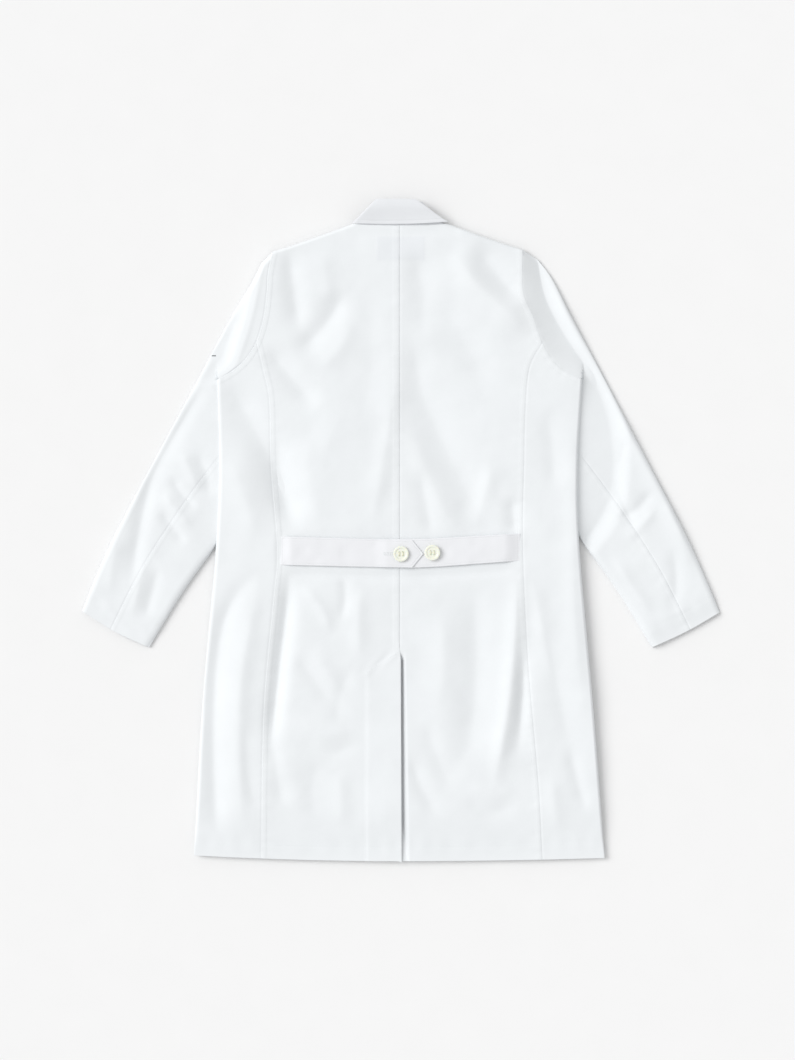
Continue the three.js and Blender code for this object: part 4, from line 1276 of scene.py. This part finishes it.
@dataclass
class Front:
    """The fronts, their facings and lapels, and the pockets, which lie underneath."""

    lap: float = 12.5
    facing: float = 75.0
    break_height: float = 190.0
    pitch: float = 5.5
    corner_ride: Ride = Ride("coat_body", "skirt_corner", (6.0, -208.0), (34.0, -220.5))

    def height(self, side: Side, level: float) -> Relief:
        """A front that lies flat at a level and turns up to the side seam and the shoulder."""

        def relief(places: Points) -> np.ndarray:
            lines = LINES[side]
            z = level + Crumple(31, 70.0, 0.18).lift(places)
            edge = np.abs(lines.side_edge.nearest(places)[0])
            top = np.abs(lines.shoulder.nearest(places)[0])
            for d in (edge, top):
                z = SIDE_EDGE - 0.3 + (z - SIDE_EDGE + 0.3) * rounded(d, 12.0)
            return z

        return relief

    def edge(self, side: Side, shift: float = 0.0) -> Path:
        """The front edge and the roll line, from the hem to the neck."""
        lap = (self.lap - shift) * -side.value
        neck = side.value * 76.0
        return Path.line((lap, HEM + 1), (lap, self.break_height), (neck, 476.0))

    def build(self) -> None:
        """Weaves every piece of the front."""
        for side in Side:
            self.build_panel(side)
            self.build_lapel(side)
            self.build_pocket(side, 75, 265, -400, -190, f"hip_pocket_{side.word}")
        self.build_pocket(Side.LEFT, 90, 210, 79, 224, "chest_pocket")
        rows = Stitching("stitching_front", BODY, lambda p: np.full(len(p), FRONT_FACE - 1.25))
        rows.rows.append(Path.line((self.lap - 3, -205), (self.lap - 3, self.break_height - 4)))
        rows.sew()

    def build_panel(self, side: Side) -> None:
        """A front panel and its facing."""
        lines, left = LINES[side], side is Side.LEFT
        outer = lines.side_edge.joined(lines.armhole.flipped())
        inner = self.edge(side)
        hem = Path.line(tuple(inner.points[0]), tuple(lines.side_edge.points[0]))
        top = Path(np.vstack([inner.points[-1], lines.shoulder.points[::-1]]))
        patch = Patch(outer, inner, hem.flipped(), top.flipped()) if left else Patch(inner, outer, hem, top)
        flat, area = cut_size(patch)
        level = FRONT_FACE - 0.9 if left else FRONT_FACE + 0.3
        ride = self.corner_ride if left else BODY
        across = ticks(310, self.pitch, fine=2.0, low=14 if left else 0, high=0 if left else 14)
        Sheet(
            f"front_panel_cloth_{side.word}",
            ("front_panel_left", "front_corner") if left else ("front_panel_right",),
            over(patch, self.height(side, level)), across, ticks(990, self.pitch, fine=2.0, high=12),
            flat, area, ride=ride, underside=True, turned=Back().hem_layers,
        ).weave()  # fmt: skip
        back = self.edge(side, self.facing)
        back = Path(back.points + np.array([[0, 0], [0, 0], [side.value * -6.0, -4.0]]))
        front = Path(self.edge(side, 1.5).points + np.array([[0, 0], [0, 0], [0, -4.0]]))
        low = Path.line(tuple(back.points[0]), tuple(front.points[0]))
        high = Path.line(tuple(back.points[-1]), tuple(front.points[-1]))
        facing = Patch(back, front, low, high) if left else Patch(front, back, low.flipped(), high.flipped())
        flat, area = cut_size(facing)
        Sheet(
            f"front_facing_cloth_{side.word}", (f"front_facing_{side.word}",),
            over(facing, lambda p: np.full(len(p), level + 0.6)), ticks(self.facing, 6.0), ticks(990, 8.0),
            flat, area, ride=ride, turned=Back().hem_layers, rests_on=(f"front_panel_cloth_{side.word}",),
        ).weave()  # fmt: skip

    def build_lapel(self, side: Side) -> None:
        """A lapel folded out along the roll line, and the collar's end above it."""
        s, lap = side.value, -side.value * self.lap
        roll = Path.through((lap, self.break_height), (s * 14, 300), (s * 68, 447))
        out = Path.through((lap + s * 3, self.break_height + 1), (s * 58, 285), (s * 122, 388))
        notch = Path.line((s * 122, 388), (s * 88, 399), (s * 68, 447))
        foot = Path.line((lap + s * 3, self.break_height + 1), (lap, self.break_height))
        lapel = (
            Patch(out, roll, foot, notch)
            if side is Side.LEFT
            else Patch(roll, out, foot.flipped(), notch.flipped())
        )
        end_out = Path.through((s * 127, 415), (s * 108, 446), (s * 84, 466), (s * 36, 503))
        end_in = Path.line((s * 89, 402), (s * 68, 447), (s * 33, 496))
        base = Path.line((s * 127, 415), (s * 89, 402))
        cap = Path.line((s * 36, 503), (s * 33, 496))
        end = (
            Patch(end_out, end_in, base, cap)
            if side is Side.LEFT
            else Patch(end_in, end_out, base.flipped(), cap.flipped())
        )
        level = FRONT_FACE - 1.4 if side is Side.LEFT else FRONT_FACE - 1.2
        for name, patch, slot, finish in (
            (f"lapel_{side.word}", lapel, "cotton_cloth", COTTON),
            (f"collar_end_{side.word}", end, "collar_cloth", COLLAR),
        ):
            flat, area = cut_size(patch)
            Sheet(
                name.replace("_left", "_cloth_left").replace("_right", "_cloth_right"), (name,),
                over(patch, lambda p: level - 0.8 * rounded(np.abs(roll.nearest(p)[0]), 20)),
                ticks(90, 4.0), ticks(240, 4.0), flat, area, slot, finish, underside=True, thickness=0.6,
                rests_on=(f"front_panel_cloth_{side.word}",),
            ).weave()  # fmt: skip

    def build_pocket(self, side: Side, inner: float, outer: float, low: float, high: float, node: str) -> None:
        """A patch pocket, sewn on three sides and open at its top edge."""
        s = side.value
        x0, x1 = sorted((s * inner, s * outer))
        patch = Patch(
            Path.line((x0, low), (x0, high)), Path.line((x1, low), (x1, high)),
            Path.line((x0, low), (x1, low)), Path.line((x0, high), (x1, high)),
        )  # fmt: skip

        def height(places: Points) -> np.ndarray:
            x, y = places.T
            inside = rounded(x - x0, 26) * rounded(x1 - x, 26) * rounded(y - low, 30)
            return FRONT_FACE - 1.2 - 4.2 * inside

        name = node.replace("hip_pocket", "hip_pocket_cloth") if "hip" in node else "chest_pocket_cloth"
        flat, area = cut_size(patch)
        Sheet(
            name, (node,), over(patch, height), ticks(outer - inner, 4.0, fine=1.5, low=10, high=10),
            ticks(high - low, 4.0, fine=1.5, low=10, high=4), flat, area, underside=True,
            turned=lambda p: ease((p[:, 1] - high + 24) / 1.5), rests_on=(f"front_panel_cloth_{side.word}",),
        ).weave()  # fmt: skip


# ------------------------------------------------------------------------------- collar


@dataclass
class Collar:
    """The turned-down collar, the stand that carries it, the label and the hanging loop."""

    lower_left: tuple[float, float] = (-75.5, 477.0)
    lower_right: tuple[float, float] = (74.5, 479.5)
    turn: float = 16.0
    ride: Ride = Ride("coat_body", "collar", (0.0, 514.0), (0.0, 499.0))

    def leaf_patch(self) -> Patch:
        """The outline of the leaf as it lies."""
        left = Path.line(self.lower_left, (-38, ROLL - 0.6))
        right = Path.through(self.lower_right, (66, 484.5), (54, 493), (38, 505), (24, ROLL - 0.8))
        low = Path.through(self.lower_left, (-36, 475.9), (0, 475.9), (38, 477.0), self.lower_right)
        top = Path.through((-38, ROLL - 0.6), (-30, ROLL), (12, ROLL), (24, ROLL - 0.8))
        return Patch(left, right, low, top)

    def leaf_height(self, places: Points) -> np.ndarray:
        """The outer face of the leaf, which rolls over at the top and lifts off at the right."""
        x, y = places.T
        z = 18.9 + 3.4 * ease((y - 478) / 28) + 2.9 * ease((x + 5) / 72) * ease((496 - y) / 24)
        z += 0.5 * Crumple(41, 30.0, 0.8).lift(places)
        patch = self.leaf_patch()
        sides = np.minimum(np.abs(patch.left.nearest(places)[0]), np.abs(patch.right.nearest(places)[0]))
        z = z - 1.2 * (1 - rounded(sides, 4.0))
        edge = y - patch.bottom.at(np.clip((x + 75.5) / 150, 0, 1))[:, 1]
        z = z - 0.5 * (1 - rounded(edge, 1.4)) - 0.35 * np.exp(-(((edge - 5.5) / 0.9) ** 2))
        top = patch.top.at(np.clip((x + 38) / 62, 0, 1))[:, 1]
        return 15.6 + (z - 15.6) * rounded(top - y + 0.4, self.turn)

    def build(self) -> None:
        """Weaves the collar and what is sewn in below it."""
        patch = self.leaf_patch()
        depth = 40.0

        def place(u: np.ndarray, v: np.ndarray) -> Points:
            flat = patch.at(u, np.clip(v, 0, 1))
            z = self.leaf_height(flat)
            back = np.clip(v - 1, 0, 1) * depth
            x = flat[:, 0] * (1 + 0.012 * back)
            angle = np.clip(back / 5.0, 0, 1) * math.pi / 2
            y = flat[:, 1] - 2.6 * (1 - np.cos(angle)) - np.maximum(back - 5, 0)
            return np.column_stack([x, y, z - 2.6 * np.sin(angle) - 0.02 * back])

        flat, area = cut_size(patch)
        size = (flat[0], flat[1] + 12)
        up = np.concatenate([ticks(40, 1.6, fine=0.7, low=8, high=14), 1 + np.linspace(0, 0.3, 9)[1:]])
        Sheet(
            "collar_leaf_cloth", ("collar_leaf",), place, ticks(150, 1.8, fine=0.8, low=7, high=7), up,
            size, area + 60 * 12, "collar_cloth", COLLAR, self.ride, thickness=0.55,
            turned=lambda p: np.zeros(len(p)) + 1.0, rests_on=("back_panel_cloth_left",),
        ).weave()  # fmt: skip
        stand = Patch(
            Path.line((-70, 472), (-36, 511)), Path.line((70, 472), (34, 511)),
            Path.line((-70, 472), (70, 472)), Path.line((-36, 511), (34, 511)),
        )  # fmt: skip
        flat, area = cut_size(stand)
        Sheet(
            "collar_stand_cloth", ("collar_stand",), over(stand, lambda p: 15.3 - 0.02 * (p[:, 1] - 472)),
            ticks(140, 5.0), ticks(40, 4.0), flat, area, "collar_cloth", COLLAR,
            underside=True, thickness=0.5,
        ).weave()  # fmt: skip
        rows = Stitching("stitching_collar", self.ride, self.leaf_height)
        rows.rows.append(patch.bottom.beside(5.5).part(0.05, 0.95))
        rows.rows.append(patch.left.beside(-5.5).part(0.14, 0.75))
        rows.rows.append(patch.right.beside(5.5).part(0.14, 0.75))
        rows.sew()
        self.build_label()

    def build_label(self) -> None:
        """The blank label and the hanging loop, on the inside below the neck."""
        low, high, bottom, top = LABEL_BOX
        label = Patch(
            Path.line((low, bottom), (low, top)), Path.line((high, bottom), (high, top)),
            Path.line((low, bottom), (high, bottom)), Path.line((low, top), (high, top)),
        )  # fmt: skip
        flat, area = cut_size(label)
        Sheet(
            "neck_label_tape", ("neck_label",), over(label, lambda p: back_height(p) - 1.7),
            ticks(76, 3.0), ticks(40, 3.0), flat, area, "woven_tape", TAPE, underside=True, thickness=0.25,
        ).weave()  # fmt: skip
        angles = np.linspace(0, math.pi, 19)
        outer = Path(np.stack([-28 * np.cos(angles), 424 - 15 * np.sin(angles)], -1))
        inner = Path(np.stack([-22 * np.cos(angles), 424 - 9 * np.sin(angles)], -1))
        ends = (
            Path.line(tuple(outer.points[0]), tuple(inner.points[0])),
            Path.line(tuple(outer.points[-1]), tuple(inner.points[-1])),
        )
        loop = Patch(ends[0], ends[1], outer, inner)
        Sheet(
            "hanging_loop_tape", ("hanging_loop",),
            over(loop, lambda p: back_height(p) - 2.6 - 1.2 * ease((424 - p[:, 1]) / 12)),
            ticks(70, 1.5), ticks(6, 1.0), (6.0 * 1.7, 82.0), 6 * 75.0, "woven_tape", TAPE,
            underside=True, thickness=0.4,
        ).weave()  # fmt: skip


# ------------------------------------------------------------------------------- half belt


@dataclass
class HalfBelt:
    """The two straps of the half belt."""

    edge: float = 1.4

    def left_patch(self) -> Patch:
        """The left strap, which ends in a point and lies on top."""
        low = Path.line((-BELT_END, -54.5), (-60, -57.5), (18.5, -58.8))
        top = Path.line((-BELT_END, -10.0), (-60, -13.5), (18.5, -15.6))
        tip = Path.line((18.5, -58.8), (36.4, -37.0), (18.5, -15.6))
        return Patch(Path.line((-BELT_END, -54.5), (-BELT_END, -10.0)), tip, low, top)

    def right_patch(self) -> Patch:
        """The right strap, which runs under the point of the left one."""
        low = Path.through((-24, -58.5), (40, -58.3), (110, -53.5), (BELT_END, -48.0))
        top = Path.through((-24, -14.2), (40, -13.6), (110, -9.6), (BELT_END, -5.2))
        end = Path.line((BELT_END, -48.0), (BELT_END, -5.2))
        return Patch(Path.line((-24, -58.5), (-24, -14.2)), end, low, top)

    def height(self, patch: Patch, rise: float) -> Relief:
        """The outer face of a strap, with its rounded edge and the dent of its stitching."""

        def relief(places: Points) -> np.ndarray:
            edges = [np.abs(e.nearest(places)[0]) for e in (patch.bottom, patch.top, patch.left, patch.right)]
            edge = np.minimum.reduce(edges)
            z = 21.3 + rise * ease((places[:, 0] + 42) / 22) + Crumple(51, 17.0, 0.6).lift(places)
            z = z - 3.2 * (1 - ease((BELT_END + places[:, 0]) / 18))
            z = z - 4.4 * (1 - ease((BELT_END - places[:, 0]) / 26))
            z = z - self.edge * (1 - rounded(edge, 1.6)) - 0.3 * np.exp(-(((edge - 3.0) / 0.8) ** 2))
            return z

        return relief

    def build(self) -> None:
        """Weaves and sews both straps."""
        for side, patch, rise in ((Side.LEFT, self.left_patch(), 2.1), (Side.RIGHT, self.right_patch(), 0.0)):
            word = side.word
            start, end = (side.value * 188.0, -32.0), (side.value * 158.0, -32.0)
            ride = Ride("coat_body", f"belt_{word}", start, end)
            relief = self.height(patch, rise)
            flat, area = cut_size(patch)
            Sheet(
                f"half_belt_cloth_{word}", (f"half_belt_{word}",), over(patch, relief),
                ticks(215, 1.8, fine=0.6, low=4, high=4), ticks(44, 1.5, fine=0.5, low=5, high=5),
                flat, area, finish=STRAP_COTTON_SHADED, ride=ride, thickness=0.75,
                rests_on=("back_panel_cloth_left",),
            ).weave()  # fmt: skip
            rows = Stitching(f"stitching_belt_{word}", ride, relief, pitch=2.9, length=2.2)
            rows.rows += [e.beside(d).part(0.01, 0.985) for e, d in ((patch.bottom, 3.0), (patch.top, -3.0))]
            if side is Side.LEFT:
                rows.rows.append(Path.line((17.2, -55.0), (32.2, -37.0), (17.2, -19.4)))
                rows.rows.append(Path.line((-183, -52), (-183, -13)))
            else:
                rows.rows.append(Path.line((183, -45), (183, -8.5)))
            rows.sew()
            if side is Side.LEFT:
                self.build_buttonhole(ride, relief)

    def build_buttonhole(self, ride: Ride, relief: Relief) -> None:
        """The satin stitches round the buttonhole, which shows on the left of the first button."""
        hole = Stitching("stitching_buttonhole", ride, relief, length=1.9, pitch=1.75, width=0.6)
        x0, x1, y = -25.5, 2.0, -37.0
        for k in range(int((x1 - x0) / 0.7)):
            x = x0 + 0.7 * k
            for s in (-1, 1):
                hole.rows.append(Path.line((x, y + s * 0.6), (x + 0.05, y + s * 2.4)))
        for k in range(6):
            y2 = y - 1.9 + 0.75 * k
            hole.rows.append(Path.line((x0 - 1.9, y2), (x0 - 0.1, y2 + 0.05)))
        hole.sew()


@dataclass
class Buttons:
    """The six buttons and their thread keep their own solids and get their finish here."""

    nodes: dict[str, bpy.types.Object]

    def dress(self) -> None:
        """Gives resin to the buttons and thread to what holds them."""
        for name, node in self.nodes.items():
            if "button" in name:
                thread = name.endswith("_thread")
                node.data.materials.clear()
                node.data.materials.append((BUTTON_THREAD if thread else RESIN).material())
                LOG.info("%s keeps its own solid", name)


# ------------------------------------------------------------------------------- studio


@dataclass
class Studio:
    """The floor, the light and the camera straight above the coat."""

    camera_height: float = 6.0
    frame_height: float = 1.654
    sensor: float = 36.0
    ambient: float = 0.66
    key: float = 0.38  # light of the key on the level floor, as a share of the full white
    key_angle: float = 38.0  # how wide the key looks from the coat, in degrees
    key_from: tuple[float, float, float] = (-1.0, 0.4, 1.0)

    def build(self) -> None:
        """Sets up everything round the coat."""
        bm = bmesh.new()
        bmesh.ops.create_grid(bm, x_segments=1, y_segments=1, size=20.0)
        floor = new_object("floor", bm, FLOOR.material())
        floor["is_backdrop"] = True
        world = bpy.data.worlds.new("soft_room")
        world.use_nodes = True
        world.node_tree.nodes["Background"].inputs["Color"].default_value = (1.0, 1.0, 1.0, 1.0)
        world.node_tree.nodes["Background"].inputs["Strength"].default_value = self.ambient
        bpy.context.scene.world = world
        lamp = bpy.data.lights.new("key_softbox", "SUN")
        way = Vector(self.key_from).normalized()
        lamp.energy, lamp.angle = self.key * math.pi / way.z, math.radians(self.key_angle)
        key = bpy.data.objects.new("key_softbox", lamp)
        key.location = way * 4.0
        key.rotation_euler = (-way).to_track_quat("-Z", "Y").to_euler()
        bpy.context.scene.collection.objects.link(key)
        data = bpy.data.cameras.new("overhead_camera")
        data.sensor_width = self.sensor
        data.lens = self.sensor * self.camera_height / self.frame_height
        data.clip_end = 100.0
        camera = bpy.data.objects.new("overhead_camera", data)
        camera.location = (-0.0047, 0.0, self.camera_height)
        bpy.context.scene.collection.objects.link(camera)
        bpy.context.scene.camera = camera
        bpy.context.scene.view_settings.view_transform = "Standard"


def main() -> None:
    """Builds the coat round its frame, piece by piece."""
    logging.basicConfig(level=logging.INFO, format="%(name)s: %(message)s", force=True)
    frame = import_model()
    before = [list(corner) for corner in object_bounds()]
    Front().build()
    Back().build()
    BackSeams().build()
    for side in Side:
        Sleeve(side).build()
    BarTack().build()
    Collar().build()
    HalfBelt().build()
    Buttons(frame["nodes"]).dress()
    Studio().build()
    bpy.context.view_layer.update()
    {"cad": before, "visual": [list(corner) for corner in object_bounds()]}


if __name__ == "__main__":
    main()
